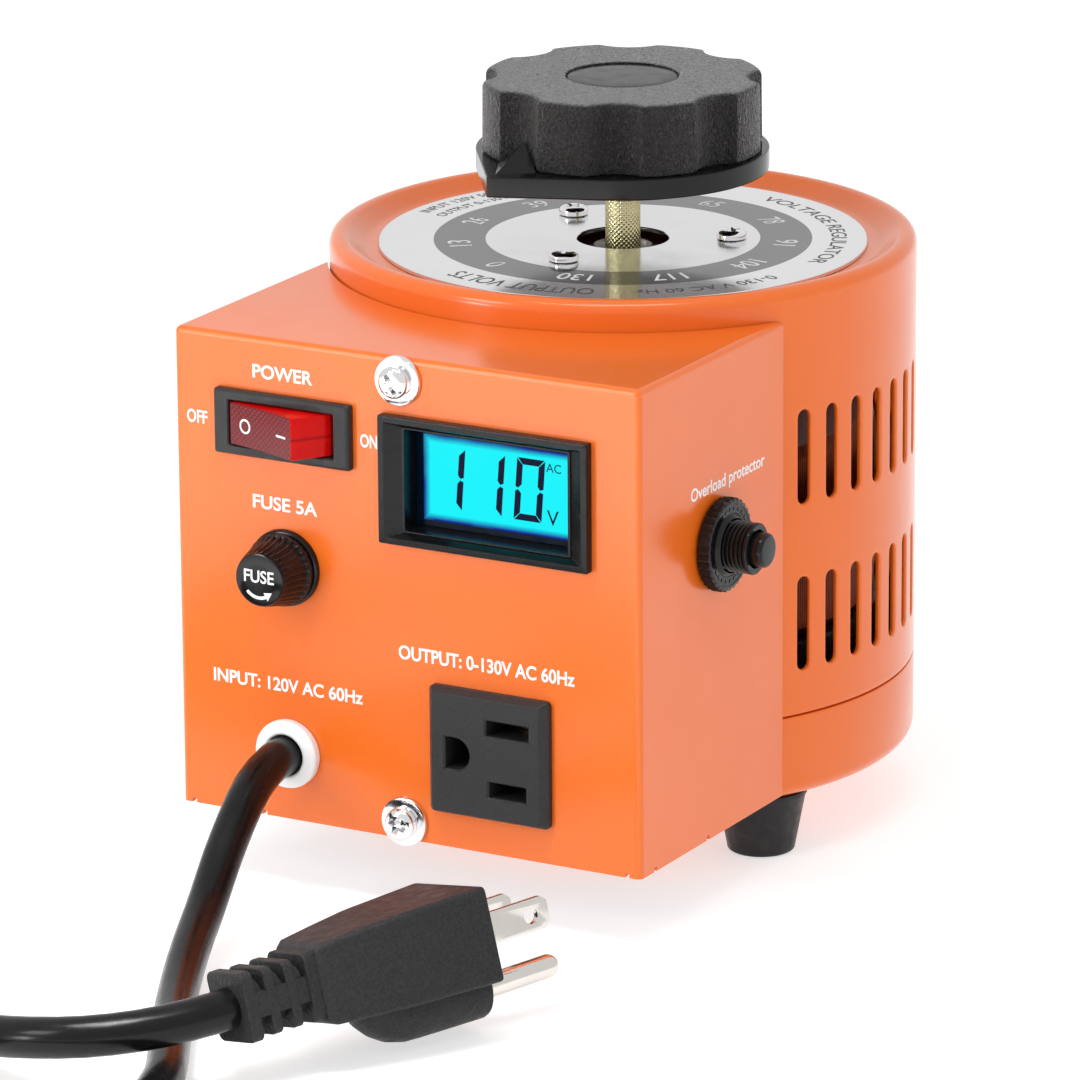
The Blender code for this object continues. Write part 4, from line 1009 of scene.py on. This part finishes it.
def outlet():
    c = centre("outlet")
    low, high = span("outlet")
    at = on_panel(c.x, c.z)
    hx, hy, front, back = (high.x - low.x) / 2, (high.z - low.z) / 2, PANEL_Y - low.y, PANEL_Y - high.y
    rings = [at_height(rounded_rect(12.1, 11.6, 0.5, 4), back), at_height(rounded_rect(12.1, 11.6, 0.5, 4), 0.1),
             at_height(rounded_rect(hx, hy, 1.1, 4), 0.1), at_height(rounded_rect(hx, hy, 1.1, 4), 1.1),
             at_height(rounded_rect(hx - 0.12, hy - 0.1, 1.1, 4), 1.35),
             at_height(rounded_rect(hx - 1.3, hy - 0.75, 0.7, 4), front - 0.16),
             at_height(rounded_rect(hx - 1.48, hy - 0.92, 0.6, 4), front - 0.02),
             at_height(rounded_rect(hx - 1.75, hy - 1.15, 0.5, 4), front)]
    bm = lofted(rings)
    blade_x, ground_x = 4.9, -7.0

    def slot(cx, cy, hw, hh):
        def rect(grow, z):
            return at_height(rounded_rect(hw + grow, hh + grow, 0.18, 2), z)
        return moved(lofted([rect(0, -12), rect(0, front - 0.42), rect(0.32, front), rect(0.32, front + 2)]),
                     Matrix.Translation((cx, cy, 0)))

    def d_shape(grow, z):
        pts = [(ground_x - 2.2 - grow, -3.3 - grow), (ground_x, -3.3 - grow)]
        for a in range(-80, 90, 10):
            x, y = polar(3.3 + grow, a)
            pts.append((ground_x + x, y))
        return at_height(pts + [(ground_x, 3.3 + grow), (ground_x - 2.2 - grow, 3.3 + grow)], z)

    tools = [slot(blade_x, 6.35, 4.8, 1.6), slot(blade_x, -6.35, 4.2, 1.6),
             lofted([d_shape(0, -12), d_shape(0, front - 0.42), d_shape(0.32, front), d_shape(0.32, front + 2)])]
    bm = cut(bm, joined(tools))
    piece("outlet_block", bm, OUTLET_BLACK, "case", at, smooth=30, replaces="outlet",
          weighted=True)


def breaker():
    c = centre("breaker_nut")
    low, high = span("breaker_nut")
    at = on_side(c.y, c.z)
    R = (high.z - low.z) / 2
    teeth, steps, rings = 34, 4, []
    for r, h, deep in ((5.55, 0.2, 0), (R - 0.7, 0.2, 0), (R - 0.05, 0.55, 0.4), (R, 0.9, 0.5), (R, 2.6, 0.5),
                       (R - 0.1, 2.95, 0.4), (R - 0.8, 3.2, 0), (R - 1.2, 3.2, 0), (R - 1.35, 3.05, 0),
                       (R - 3.0, 3.05, 0), (R - 3.15, 3.3, 0), (5.75, 3.8, 0), (5.55, 3.75, 0)):
        ring = []
        for k in range(teeth * steps):
            dip = 0.5 - 0.5 * math.cos(2 * math.pi * k / steps)
            ring.append((*polar(r - deep * dip, 360 * k / (teeth * steps)), h))
        rings.append(ring)
    bm = lofted(rings + rings[:1], caps=False)
    bmesh.ops.remove_doubles(bm, verts=bm.verts, dist=1e-5)
    piece("breaker_ring", bm, GLOSS, "case", at, smooth=34, replaces="breaker_nut")
    # raised pips round the ring's face
    pips = []
    for k in range(26):
        if k in (6, 7, 19, 20):
            continue
        a = 360 * k / 26
        block = cuboid((-0.32, 0.32), (-0.55, 0.55), (3.0, 3.16))
        pips.append(moved(block, Matrix.Rotation(math.radians(a), 4, "Z") @ Matrix.Translation((R - 2.2, 0, 0))))
    piece("breaker_pips", joined(pips), GLOSS, "case", at, smooth=None)
    neck = [(0, -3), (5.2, -3), (5.2, 3.0)]
    z = 3.0
    while z < 8.1:
        neck += [(5.2, z), (4.72, z + 0.32), (4.72, z + 0.5), (5.2, z + 0.82)]
        z += 0.98
    neck += [(5.2, 8.35), (5.05, 8.8), (4.8, 9.0), (3.95, 9.0), (3.8, 8.8), (3.8, 2.1), (0, 2.1)]
    clean = [p for k, p in enumerate(neck) if k == 0 or p != neck[k - 1]]
    body_low, body_high = span("breaker_body")
    bm = softened(cuboid((33.0, 51.4), (body_low.y, body_high.y), (body_low.z, body_high.z)), 0.6, 2)
    piece("breaker_case", bm, GRAIN, "case", replaces="breaker_body")
    piece("breaker_neck", turned(clean, 72), GLOSS, "case", at, smooth=32)
    button = [(0, 5.2), (3.5, 5.2), (3.5, 10.7)] + arc(2.7, 10.8, 0.8, 0, 90, 6) + [(0, 11.6)]
    piece("breaker_push", turned(button, 64, closed=False), GLOSS, "reset_button", at, smooth=40,
          replaces="breaker_button")


def grommet():
    c = centre("cord_grommet")
    profile = [(4.25, -3.4), (5.7, -3.4), (6.6, -1.5), (5.75, -1.4), (5.75, 0.15), (7.05, 0.15)]
    profile += arc(6.2, 1.3, 0.9, -20, 75, 6) + [(5.3, 2.52)] + arc(4.85, 2.0, 0.6, 80, 180, 5)
    piece("grommet_ring", turned(profile, 72), WHITE, "case", on_panel(c.x, c.z), smooth=45,
          replaces="cord_grommet")


def labels():
    """Printed legends: generic function words and ratings."""
    deep = 0.03
    rows = (("label_power", "POWER", 2.75, 13.9, -27.7, 107.85), ("label_off", "OFF", 2.65, 4.75, -47.8, 96.7),
            ("label_on", "ON", 2.65, 3.9, -8.0, 96.7), ("label_fuse", "FUSE 5A", 2.75, 15.0, -27.6, 80.9),
            ("label_input", "INPUT: 120V AC 60Hz", 2.75, 34.9, -27.6, 43.2),
            ("label_output", "OUTPUT: 0-130V AC 60Hz", 2.85, 40.0, 18.3, 54.2))
    for name, text, tall, wide, x, z in rows:
        bm = lettering(text, tall, wide, bold=0.22, deep=deep)
        piece(name, bm, WHITE_INK, "case", on_panel(x, z) @ Matrix.Translation((0, 0, 0.005)), smooth=None)
    low, high = span("breaker_nut")
    bm = lettering("Overload protector", 2.7, 31.0, bold=0.14, deep=deep)
    upright = Matrix.Rotation(math.pi / 2, 4, "Z") @ Matrix.Rotation(math.pi / 2, 4, "X")
    piece("label_overload", bm, WHITE_INK, "case", Matrix.Translation((SIDE_X + 0.005, -53.6, 88.3)) @ upright,
          smooth=None)


# ---------------------------------------------------------------- dial
def dial():
    z0, z1 = dial_low.z, DIAL_Z
    R = (dial_high.x - dial_low.x) / 2
    radii = [9.5, 9.7, 28.3, 28.3001, 39.0, 39.0001, R - 0.2, R]
    profile = [(9.5, z0), (R, z0), (R, z1 - 0.15), (R - 0.18, z1), (39.0, z1), (28.3, z1), (9.68, z1),
               (9.5, z1 - 0.15)]
    bm = turned(profile, 180)
    holes = joined([moved(turned([(0, z0 - 1), (1.8, z0 - 1), (1.8, z1 + 1), (0, z1 + 1)], 24),
                          Matrix.Translation((centre(f"dial_screw_{k}").x, centre(f"dial_screw_{k}").y, 0)))
                    for k in (1, 2, 3)])
    bm = cut(bm, holes)
    for f in bm.faces:
        m = f.calc_center_median()
        r = math.hypot(m.x, m.y)
        if f.normal.z > 0.9 and m.z > z1 - 0.05:
            far = max(math.hypot(v.co.x, v.co.y) for v in f.verts)
            near = min(math.hypot(v.co.x, v.co.y) for v in f.verts)
            f.material_index = 2 if near > 38.9 else (1 if near > 28.2 and far < 39.1 else 0)
        else:
            f.material_index = 0
    piece("dial_disc", bm, [DIAL_INNER, DIAL_BAND, DIAL_OUTER], "case", smooth=30,
          replaces="dial_plate")
    for k in range(11):
        text = str(13 * k)
        bm = lettering(text, 4.7, 2.15 * len(text) + (0.5 if len(text) > 1 else 0.4), bold=0.05, deep=0.02)
        bm = round_the_dial(bm, 33.9, -111 - 32.7 * k, z1 + 0.005)
        piece(f"dial_number_{13 * k}", bm, WHITE_INK, "case", smooth=None)
    rings = (("dial_text_front", "OUTPUT VOLTS", 4.6, 33.0, 44.6, -90),
             ("dial_text_right", "0-130 V AC 60 Hz", 3.0, 31.0, 44.8, -38),
             ("dial_text_back", "VOLTAGE REGULATOR", 3.2, 60.0, 44.6, 38),
             ("dial_text_left_a", "INPUT 120V 50-60Hz", 2.3, 29.0, 47.1, 163),
             ("dial_text_left_b", "OUTPUT 0-130V 60Hz", 2.3, 29.0, 42.6, 163))
    for name, text, tall, wide, radius, angle in rings:
        bm = round_the_dial(lettering(text, tall, wide, bold=0.02, deep=0.02), radius, angle, z1 + 0.005)
        piece(name, bm, DARK_INK, "case", smooth=None)


# ---------------------------------------------------------------- knob
LOBES, SCALLOP_ANGLE, SCALLOP_R, SCALLOP_D, KNOB_R = 8, -109.0, 8.0, 34.3, 29.2
TIP_R, TIP_ANGLE, SKIRT_R = 38.5, -107.0, 30.2


def knob_outline(inset):
    """Eight lobes with a round scallop between each, drawn in by inset; edges slightly eased."""
    d, s, big = SCALLOP_D, SCALLOP_R + inset, KNOB_R - inset
    half = math.degrees(math.acos((big * big + d * d - s * s) / (2 * big * d)))
    pts = []
    for k in range(LOBES):
        mid = SCALLOP_ANGLE + 45 * k
        for n in range(13):
            a = half * (-1 + n / 6) * (0.985 if n in (0, 12) else 1)
            root = d * math.cos(math.radians(a)) - math.sqrt(max(0.0, s * s - (d * math.sin(math.radians(a))) ** 2))
            root = min(root, big - (0.12 if n in (0, 12) else 0))
            pts.append(polar(root, mid + a))
        rest = 45 - 2 * half
        for n in range(9):
            t = 0.03 + 0.94 * n / 8
            pts.append(polar(big - (0.05 if n in (0, 8) else 0), mid + half + rest * t))
    return pts


def knob():
    low, high = span("knob_body")
    z0, z1 = low.z, high.z
    cap_low, cap_high = span("knob_cap")
    pocket_r = (cap_high.x - cap_low.x) / 2 + 0.2
    pocket_z = cap_low.z - 0.1
    base = knob_outline(0)
    angles = [math.degrees(math.atan2(y, x)) for x, y in base]

    def circle(r, z):
        return [(*polar(r, a), z) for a in angles]

    rings = [circle(3.75, 148.4), circle(3.75, z0)]
    for inset, z in ((0.35, z0), (0.05, z0 + 0.35), (0.08, z0 + 3), (0.16, z1 - 1.35), (0.24, z1 - 0.95),
                     (0.40, z1 - 0.56), (0.64, z1 - 0.26), (0.95, z1 - 0.07), (1.3, z1)):
        rings.append(at_height(knob_outline(inset), z))
    inner = [circle(20, z1), circle(pocket_r + 0.5, z1), circle(pocket_r + 0.2, z1 - 0.04),
             circle(pocket_r + 0.04, z1 - 0.16), circle(pocket_r, z1 - 0.4), circle(pocket_r, pocket_z)]
    bm = lofted(rings + inner)
    grub = span("knob_grub_screw")
    grub_mid = (grub[0] + grub[1]) / 2
    angle = math.atan2(grub_mid.y, grub_mid.x)
    tool = moved(turned([(0, 3), (1.9, 3), (1.9, 33), (0, 33)], 32), Matrix.Translation((0, 0, 144)) @
                 Matrix.Rotation(angle, 4, "Z") @ Matrix.Rotation(math.pi / 2, 4, "Y"))
    bm = cut(bm, tool)
    piece("knob_grip", bm, LEATHER, "knob", smooth=33, replaces="knob_body", weighted=True)

    half = math.degrees(math.acos(SKIRT_R / TIP_R))
    s_low, s_high = span("knob_skirt")
    za, zb = s_low.z, s_low.z + 4.4

    def skirt_ring(inset, z):
        pts = []
        sweep = 360 - 2 * half
        for n in range(5):
            t = n / 4 - 0.5
            tip = polar(TIP_R - inset * 1.27, TIP_ANGLE)
            side = polar(SKIRT_R - inset, TIP_ANGLE + (half if t > 0 else -half))
            share = abs(t) * 0.16
            blunt = 0.10 if n == 2 else 0.0
            pts.append((tip[0] * (1 - share - blunt * 0.02) + side[0] * share,
                        tip[1] * (1 - share - blunt * 0.02) + side[1] * share, z))
        for k in range(97):
            x, y = polar(SKIRT_R - inset, TIP_ANGLE + half + sweep * k / 96)
            pts.append((x, y, z))
        return pts

    rings = [skirt_ring(3.5, za + 0.6), skirt_ring(1.2, za + 0.6), skirt_ring(1.0, za + 0.1), skirt_ring(0.35, za), skirt_ring(0.08, za + 0.12),
             skirt_ring(0.0, za + 0.4), skirt_ring(0.0, zb - 0.4), skirt_ring(0.08, zb - 0.12), skirt_ring(0.35, zb)]
    bm = lofted(rings)
    wedge = bmesh.new()
    root = [polar(35.9, TIP_ANGLE), polar(29.5, SCALLOP_ANGLE + 11.3), polar(26.9, SCALLOP_ANGLE),
            polar(29.5, SCALLOP_ANGLE - 11.3)]
    low_v = [wedge.verts.new((x, y, za + 2)) for x, y in root]
    mid_v = [wedge.verts.new((x, y, zb)) for x, y in root]
    top_v = wedge.verts.new((*polar(26.9, SCALLOP_ANGLE), s_high.z))
    wedge.faces.new(low_v)
    for k in range(4):
        n = (k + 1) % 4
        wedge.faces.new((low_v[k], low_v[n], mid_v[n], mid_v[k]))
        wedge.faces.new((mid_v[k], mid_v[n], top_v))
    bm = cut(bm, wedge, "UNION")
    bm = cut(bm, turned([(0, za - 2), (3.75, za - 2), (3.75, zb + 2), (0, zb + 2)], 48))
    piece("knob_flange", bm, GLOSS, "knob", smooth=33, replaces="knob_skirt", weighted=True)

    r = (cap_high.x - cap_low.x) / 2
    dome = [(0, cap_low.z), (r, cap_low.z), (r, cap_high.z - 0.5)]
    dome += arc(r - 0.35, cap_high.z - 0.42, 0.35, 0, 80, 5)
    dome += [(r * 0.75, cap_high.z - 0.03), (r * 0.4, cap_high.z - 0.01), (0, cap_high.z)]
    piece("knob_lid", turned(dome, 96, closed=False), CAP_BLACK, "knob", smooth=60,
          replaces="knob_cap")


def shaft():
    """Spindle with a diamond knurl where it shows between the dial and the knob."""
    low, high = span("shaft")
    R = (high.x - low.x) / 2
    around, turns = 22, 0.98
    cols = around * 6
    levels = [low.z + 0.0, low.z + 0.4, 112.0]
    z = 112.2
    while z < 137.0:
        levels.append(z)
        z += 0.17
    levels += [137.2, high.z]
    rings = []
    for z in levels:
        ring = []
        for k in range(cols):
            a = 360 * k / cols
            if 112.1 < z < 137.1:
                u, v = k / 6, (z - 112) / turns
                one = abs(((u + v) % 1) - 0.5) * 2
                two = abs(((u - v) % 1) - 0.5) * 2
                r = R - 0.02 - 0.26 * max(0.0, 1 - 2.6 * min(1 - one, 1 - two))
            else:
                r = R - (0.35 if z == levels[0] else 0.0)
            ring.append((*polar(r, a), z))
        rings.append(ring)
    piece("shaft_knurl", lofted(rings), ZINC, "knob", smooth=60, replaces="shaft")


# ---------------------------------------------------------------- mains lead
def resampled(knots, spacing):
    """Catmull-Rom curve through the knots at even spacing."""
    pts = [Vector(k) for k in knots]
    ends = [2 * pts[0] - pts[1]] + pts + [2 * pts[-1] - pts[-2]]
    fine = []
    for k in range(1, len(ends) - 2):
        a, b, c, d = ends[k - 1:k + 3]
        for s in range(24):
            t = s / 24
            fine.append(0.5 * (2 * b + (c - a) * t + (2 * a - 5 * b + 4 * c - d) * t * t
                               + (3 * b - a - 3 * c + d) * t ** 3))
    fine.append(pts[-1])
    total = sum((q - p).length for p, q in zip(fine, fine[1:]))
    steps = max(2, round(total / spacing))
    out, travelled, index = [fine[0]], 0.0, 0
    for k in range(1, steps):
        want = total * k / steps
        while index < len(fine) - 2 and travelled + (fine[index + 1] - fine[index]).length < want:
            travelled += (fine[index + 1] - fine[index]).length
            index += 1
        length = (fine[index + 1] - fine[index]).length
        out.append(fine[index].lerp(fine[index + 1], (want - travelled) / length))
    out.append(fine[-1])
    return out, total


COIL_AT, FLOOR_Z = Vector((-85, -230, 0)), 4.15
PLUG_TURN = Euler((math.radians(-14), math.radians(-4.4), math.radians(65)), "XYZ").to_matrix().to_4x4()
PLUG_AT = Vector((19.8, -190.4, 14.8))


def coil_point(degrees, r, z):
    """Clockwise from the south, seen from above."""
    x, y = polar(r, -90 - degrees)
    return (COIL_AT.x + x, COIL_AT.y + y, z)


def mains_lead():
    c = centre("cord_grommet")
    x, z = c.x, c.z
    run = [(x, PANEL_Y + 4, z), (x, PANEL_Y - 3, z), (x + 0.1, PANEL_Y - 8, z - 0.4), (x + 1.0, -107, z - 3.0),
           (x + 3.2, -120, z - 10.5), (x + 6.8, -134, z - 18.5), (x + 12.2, -149, 6.6), (x + 20.0, -166, FLOOR_Z),
           (x + 31.0, -186, FLOOR_Z), (x + 41.5, -206, FLOOR_Z), (x + 45.5, -226, FLOOR_Z),
           (x + 40.0, -248, FLOOR_Z), (x + 22.0, -268, FLOOR_Z), (x - 6.0, -281, FLOOR_Z),
           (COIL_AT.x + 18, COIL_AT.y - 56.4, FLOOR_Z)]
    low, high = FLOOR_Z + 0.4, FLOOR_Z + 7.4
    turns = [(0, 56.6, FLOOR_Z), (22, 55, FLOOR_Z + 0.1), (45, 52.5, low), (68, 50, low)]
    turns += [(a, 48.2, low) for a in range(90, 361, 22)]
    turns += [(360 + a, 48.2 - 8.2 * a / 90, low) for a in (22, 45, 68)]
    turns += [(360 + a, 40.0, low) for a in range(90, 350, 22)]
    turns += [(720, 39.6, low + 0.2), (742, 38.2, 6.6), (765, 37.8, 9.3), (788, 40.2, 11.8)]
    turns += [(810, 44.0, high), (827, 47.0, 12.5), (842, 50.3, 12.3), (857, 53.6, 10.8), (872, 56.3, 7.7)]
    turns += [(887, 57.3, 5.3)]
    run += [coil_point(*t) for t in turns]
    run += [(COIL_AT.x + 3, COIL_AT.y + 57, 4.4), (COIL_AT.x + 14.8, COIL_AT.y + 55.1, 4.3),
            (COIL_AT.x + 28.5, COIL_AT.y + 49.4, 4.6), (COIL_AT.x + 38.1, COIL_AT.y + 42.4, 5.3),
            (COIL_AT.x + 45.9, COIL_AT.y + 33.8, 6.3), (-30.2, -206.1, 7.6), (-21.8, -210.6, 8.8),
            (-10.9, -212.5, 10.7), (0.9, -210.2, 12.2), (11.0, -203.8, 13.5)]
    axis = PLUG_TURN.to_3x3() @ Vector((1, 0, 0))
    run += [tuple(PLUG_AT - axis * 4.0), tuple(PLUG_AT + axis * 1.0)]
    points, total = resampled(run, 5.0)
    curve = bpy.data.curves.new("mains_cord", "CURVE")
    curve.dimensions = "3D"
    curve.bevel_depth = 4.0 * MM
    curve.bevel_resolution = 8
    curve.use_fill_caps = True
    line = curve.splines.new("POLY")
    line.points.add(len(points) - 1)
    for k, p in enumerate(points):
        line.points[k].co = (*(AXIS + p * MM), 1.0)
    line.use_smooth = True
    cord = bpy.data.objects.new("mains_cord", curve)
    bpy.context.scene.collection.objects.link(cord)
    curve.materials.append(JACKET)
    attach(cord, "case")
    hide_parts("cord_lead", "cord_coil", "cord_tail")
    tie = coil_tie()
    pieces = plug() + [tie]


def coil_tie():
    """A flat strap round the coil's three strands."""
    mid = 8.08
    rings = []
    for y, grow in ((-4.0, -0.06), (-3.7, 0.0), (3.7, 0.0), (4.0, -0.06), (3.6, -0.14), (-3.6, -0.14)):
        outline = rounded_rect(8.6 + grow, 7.7 + grow, 3.6, 6)
        rings.append([(px, y, mid + pz) for px, pz in outline])
    place = Matrix.Translation((COIL_AT.x - 43.9, COIL_AT.y, 0))
    return piece("coil_tie", tube_of(rings), RUBBER, "case", place, smooth=40)


def plug():
    """Moulded three-pin plug. Local x runs along the plug, z up, blades level with the cord."""
    at = Matrix.Translation(PLUG_AT) @ PLUG_TURN

    def section(x, y0, y1, z0, z1, r, steps=5):
        pts = []
        for cy, cz, a0 in ((y1 - r, z1 - r, 0), (y0 + r, z1 - r, 90), (y0 + r, z0 + r, 180), (y1 - r, z0 + r, 270)):
            for k in range(steps + 1):
                u, v = polar(r, a0 + 90 * k / steps)
                pts.append((x, cy + u, cz + v))
        return pts

    body = lofted([section(16.4, -6.9, 6.9, -7.1, 6.7, 1.0), section(16.7, -7.3, 7.3, -7.5, 7.1, 1.1),
                   section(18.2, -8.2, 8.2, -8.2, 7.9, 1.2), section(26, -9.6, 9.6, -8.6, 8.5, 1.2),
                   section(34, -11.0, 11.0, -9.0, 9.0, 1.2), section(36.5, -11.2, 11.2, -9.05, 9.1, 1.2),
                   section(52.2, -12.5, 12.5, -9.4, 9.4, 1.1), section(52.8, -12.4, 12.4, -9.3, 9.3, 1.0),
                   section(53, -12.1, 12.1, -9.0, 9.0, 0.9)])
    lobe_rings = []
    for x, half, low, top in ((25.2, 3.0, -8.8, -7.2), (25.9, 5.0, -10.4, -6.6), (27.2, 6.2, -12.4, -6.2),
                              (29.2, 7.1, -14.4, -6), (31.6, 7.5, -15.9, -6), (34.5, 7.6, -16.7, -6),
                              (38, 7.7, -16.9, -6), (52.3, 7.8, -17.2, -6), (52.85, 7.7, -17.05, -6),
                              (53, 7.4, -16.8, -6)):
        ring = []
        deep = top - low
        for k in range(19):
            a = 180 + 180 * k / 18
            u, v = polar(1, a)
            ring.append((x, half * (abs(u) ** 0.85) * (1 if u > 0 else -1), low + min(deep, half * 0.9) * (1 + v)))
        ring += [(x, half, top), (x, -half, top)]
        lobe_rings.append(ring)
    bm = cut(body, lofted(lobe_rings), "UNION")
    # bend relief: four flanges on a slimmer core, tied together down both sides
    core = moved(turned([(0, 0), (4.7, 0), (4.9, 0.2), (5.2, 17.5), (0, 17.5)], 48), Matrix.Rotation(math.pi / 2, 4, "Y"))
    bm = cut(bm, core, "UNION")
    for x0, x1, hy, hz in ((0.0, 2.6, 6.4, 6.8), (4.9, 7.0, 6.4, 6.5), (9.5, 11.6, 6.5, 6.5), (14.0, 17.0, 6.8, 6.8)):
        flange = lofted([section(x0, -hy + 0.2, hy - 0.2, -hz + 0.2, hz - 0.2, 1.5),
                         section(x0 + 0.25, -hy, hy, -hz, hz, 1.6), section(x1 - 0.25, -hy, hy, -hz, hz, 1.6),
                         section(x1, -hy + 0.2, hy - 0.2, -hz + 0.2, hz - 0.2, 1.5)])
        bm = cut(bm, flange, "UNION")
    for side in (-1, 1):
        y0, y1 = sorted((side * 3.2, side * 6.25))
        spine = cuboid((0.6, 16.8), (y0, y1), (-2.4, 2.4))
        bm = cut(bm, spine, "UNION")
    shell = piece("plug_shell", bm, PLUG_GREY, "case", at, smooth=34, replaces="plug_body",
                  weighted=True)
    pieces = [shell]
    for name, node, y in (("plug_pin_line", "plug_blade_line", -6.35), ("plug_pin_neutral", "plug_blade_neutral", 6.35)):
        outline = [(53.2, -3.17), (67.9, -3.17), (69.2, -2.1), (69.2, 2.1), (67.9, 3.17), (53.2, 3.17)]
        bm = moved(prism(outline, -0.75, 0.75), Matrix.Rotation(math.pi / 2, 4, "X"))
        hole = moved(turned([(0, -3), (1.55, -3), (1.55, 3), (0, 3)], 32),
                     Matrix.Translation((65.0, 0, 0)) @ Matrix.Rotation(math.pi / 2, 4, "X"))
        bm = softened(cut(bm, hole), 0.16, 2)
        pieces.append(piece(name, bm, NICKEL, "case", at @ Matrix.Translation((0, y, 0)), smooth=35,
                            replaces=node))
    tip = arc(0, 0, 2.38, 0, 90, 8)
    pin = [(0, 53.2), (2.38, 53.2), (2.38, 70.5)] + [(r, 70.5 + h) for r, h in tip[1:-1]] + [(0, 72.88)]
    bm = moved(turned(pin, 48, closed=False), Matrix.Translation((0, 0, -11.9)) @ Matrix.Rotation(math.pi / 2, 4, "Y"))
    pieces.append(piece("plug_pin_ground", bm, NICKEL, "case", at, smooth=50,
                        replaces="plug_ground_pin"))
    return pieces


# ---------------------------------------------------------------- what shows inside
def inner_parts():
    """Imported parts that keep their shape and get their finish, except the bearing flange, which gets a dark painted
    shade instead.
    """
    looks = {
        "winding": COPPER, "coil_seat": SEAT, "toroid_core": CORE, "clamp_hub": CAST, "low_bushing": BRASS,
        # bearing_flange gets a dark brown painted shade that stands in for the shadowed hole under the dial
        "slip_ring": BRASS, "top_bushing": SHADED_BRASS, "bearing_flange": FLANGE_PAINTED_SHADE, "stop_post": CHROME,
        "brush_arm": CAST, "brush_holder": BRASS, "carbon_brush": CARBON, "knob_grub_screw": CHROME,
        "box_floor": CAST, "top_bracket": CAST, "fuse_nut": GRAIN, "fuse_cap_front": NICKEL,
        "fuse_cap_rear": NICKEL, "fuse_tube": GLASS, "contact_neutral": SHADED_BRASS,
        "contact_line": SHADED_BRASS, "contact_ground": SHADED_BRASS,
    }
    for node, mat in looks.items():
        obj = frame["nodes"][node]
        obj.data.materials.clear()
        obj.data.materials.append(mat)


ROCKER_TILT, ROCKER_PIVOT = 17.5, -4.0

ORANGE = orange_paint()
CHROME = metal("chrome_plate", (0.86, 0.86, 0.87), 0.10, depth=0.002).mat
NICKEL = metal("nickel_plate", (0.74, 0.71, 0.67), 0.16, grain=(3, 3, 3), depth=0.004).mat
ZINC = metal("yellow_zinc", (0.76, 0.72, 0.42), 0.24, grain=(2, 2, 2), depth=0.004).mat
CAST = metal("cast_metal", (0.45, 0.45, 0.46), 0.42, grain=(2, 2, 2), depth=0.03).mat
BRASS = metal("brass", (0.68, 0.47, 0.18), 0.28, grain=(2, 2, 2), depth=0.005).mat
CORE = metal("core_steel", (0.28, 0.28, 0.3), 0.4, depth=0.01).mat
DIAL_INNER = dial_face("dial_inner", (0.84, 0.84, 0.85), 0.15, 1.0)
DIAL_BAND = dial_face("dial_band", (0.022, 0.022, 0.023), 0.12, 0.0, 2.2)
DIAL_OUTER = dial_face("dial_outer", (0.88, 0.88, 0.89), 0.10, 1.0)
LEATHER = leather_black()
GRAIN = grain_black("panel_black", (0.012, 0.0125, 0.013), 0.42, shine=0.4)
METER_BLACK = grain_black("meter_black", (0.003, 0.003, 0.0035), 0.22, 2.0, 0.01, 0.26)
OUTLET_BLACK = grain_black("outlet_black", (0.017, 0.017, 0.018), 0.38, 2.4, 0.035, 0.3)
PLUG_GREY = grain_black("plug_vinyl", (0.017, 0.017, 0.018), 0.45, 1.7, 0.12, 0.16)
SEAT = plain("coil_seat_black", (0.01, 0.01, 0.01), 0.25, 0.0, 0.5, 0.05)
# painted shade: dark brown for the bearing flange, standing in for the shadow in the hole under the dial
FLANGE_PAINTED_SHADE = plain("phenolic", (0.030, 0.006, 0.005), 0.4, 0.0, 0.8, 0.02)
SHADED_BRASS = metal("shaded_brass", (0.10, 0.075, 0.035), 0.35, grain=(2, 2, 2), depth=0.005).mat
CARBON = plain("carbon", (0.03, 0.03, 0.03), 0.5)
GLOSS = gloss_black("gloss_black")
CAP_BLACK = gloss_black("cap_black", (0.006, 0.006, 0.007), 0.2, 0.2)
RUBBER = rubber()
JACKET = cord_jacket()
COPPER = copper_winding()
RED_DOTS = red_rocker()
RED_LENS = red_smooth()
WHITE = white_plastic()
WHITE_INK = ink("white_ink", (0.86, 0.86, 0.86))
DARK_INK = ink("dark_ink", (0.05, 0.05, 0.052), 0.4)
LCD_INK = ink("segment_ink", (0.0, 0.001, 0.022), 0.3, 0.08)
GLASS = clear_glass()

camera()
studio()
drum()
base()
control_box()
washers_and_screws()
power_switch()
meter()
fuse_holder()
outlet()
breaker()
grommet()
labels()
dial()
knob()
shaft()
mains_lead()
inner_parts()

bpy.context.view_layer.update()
import json
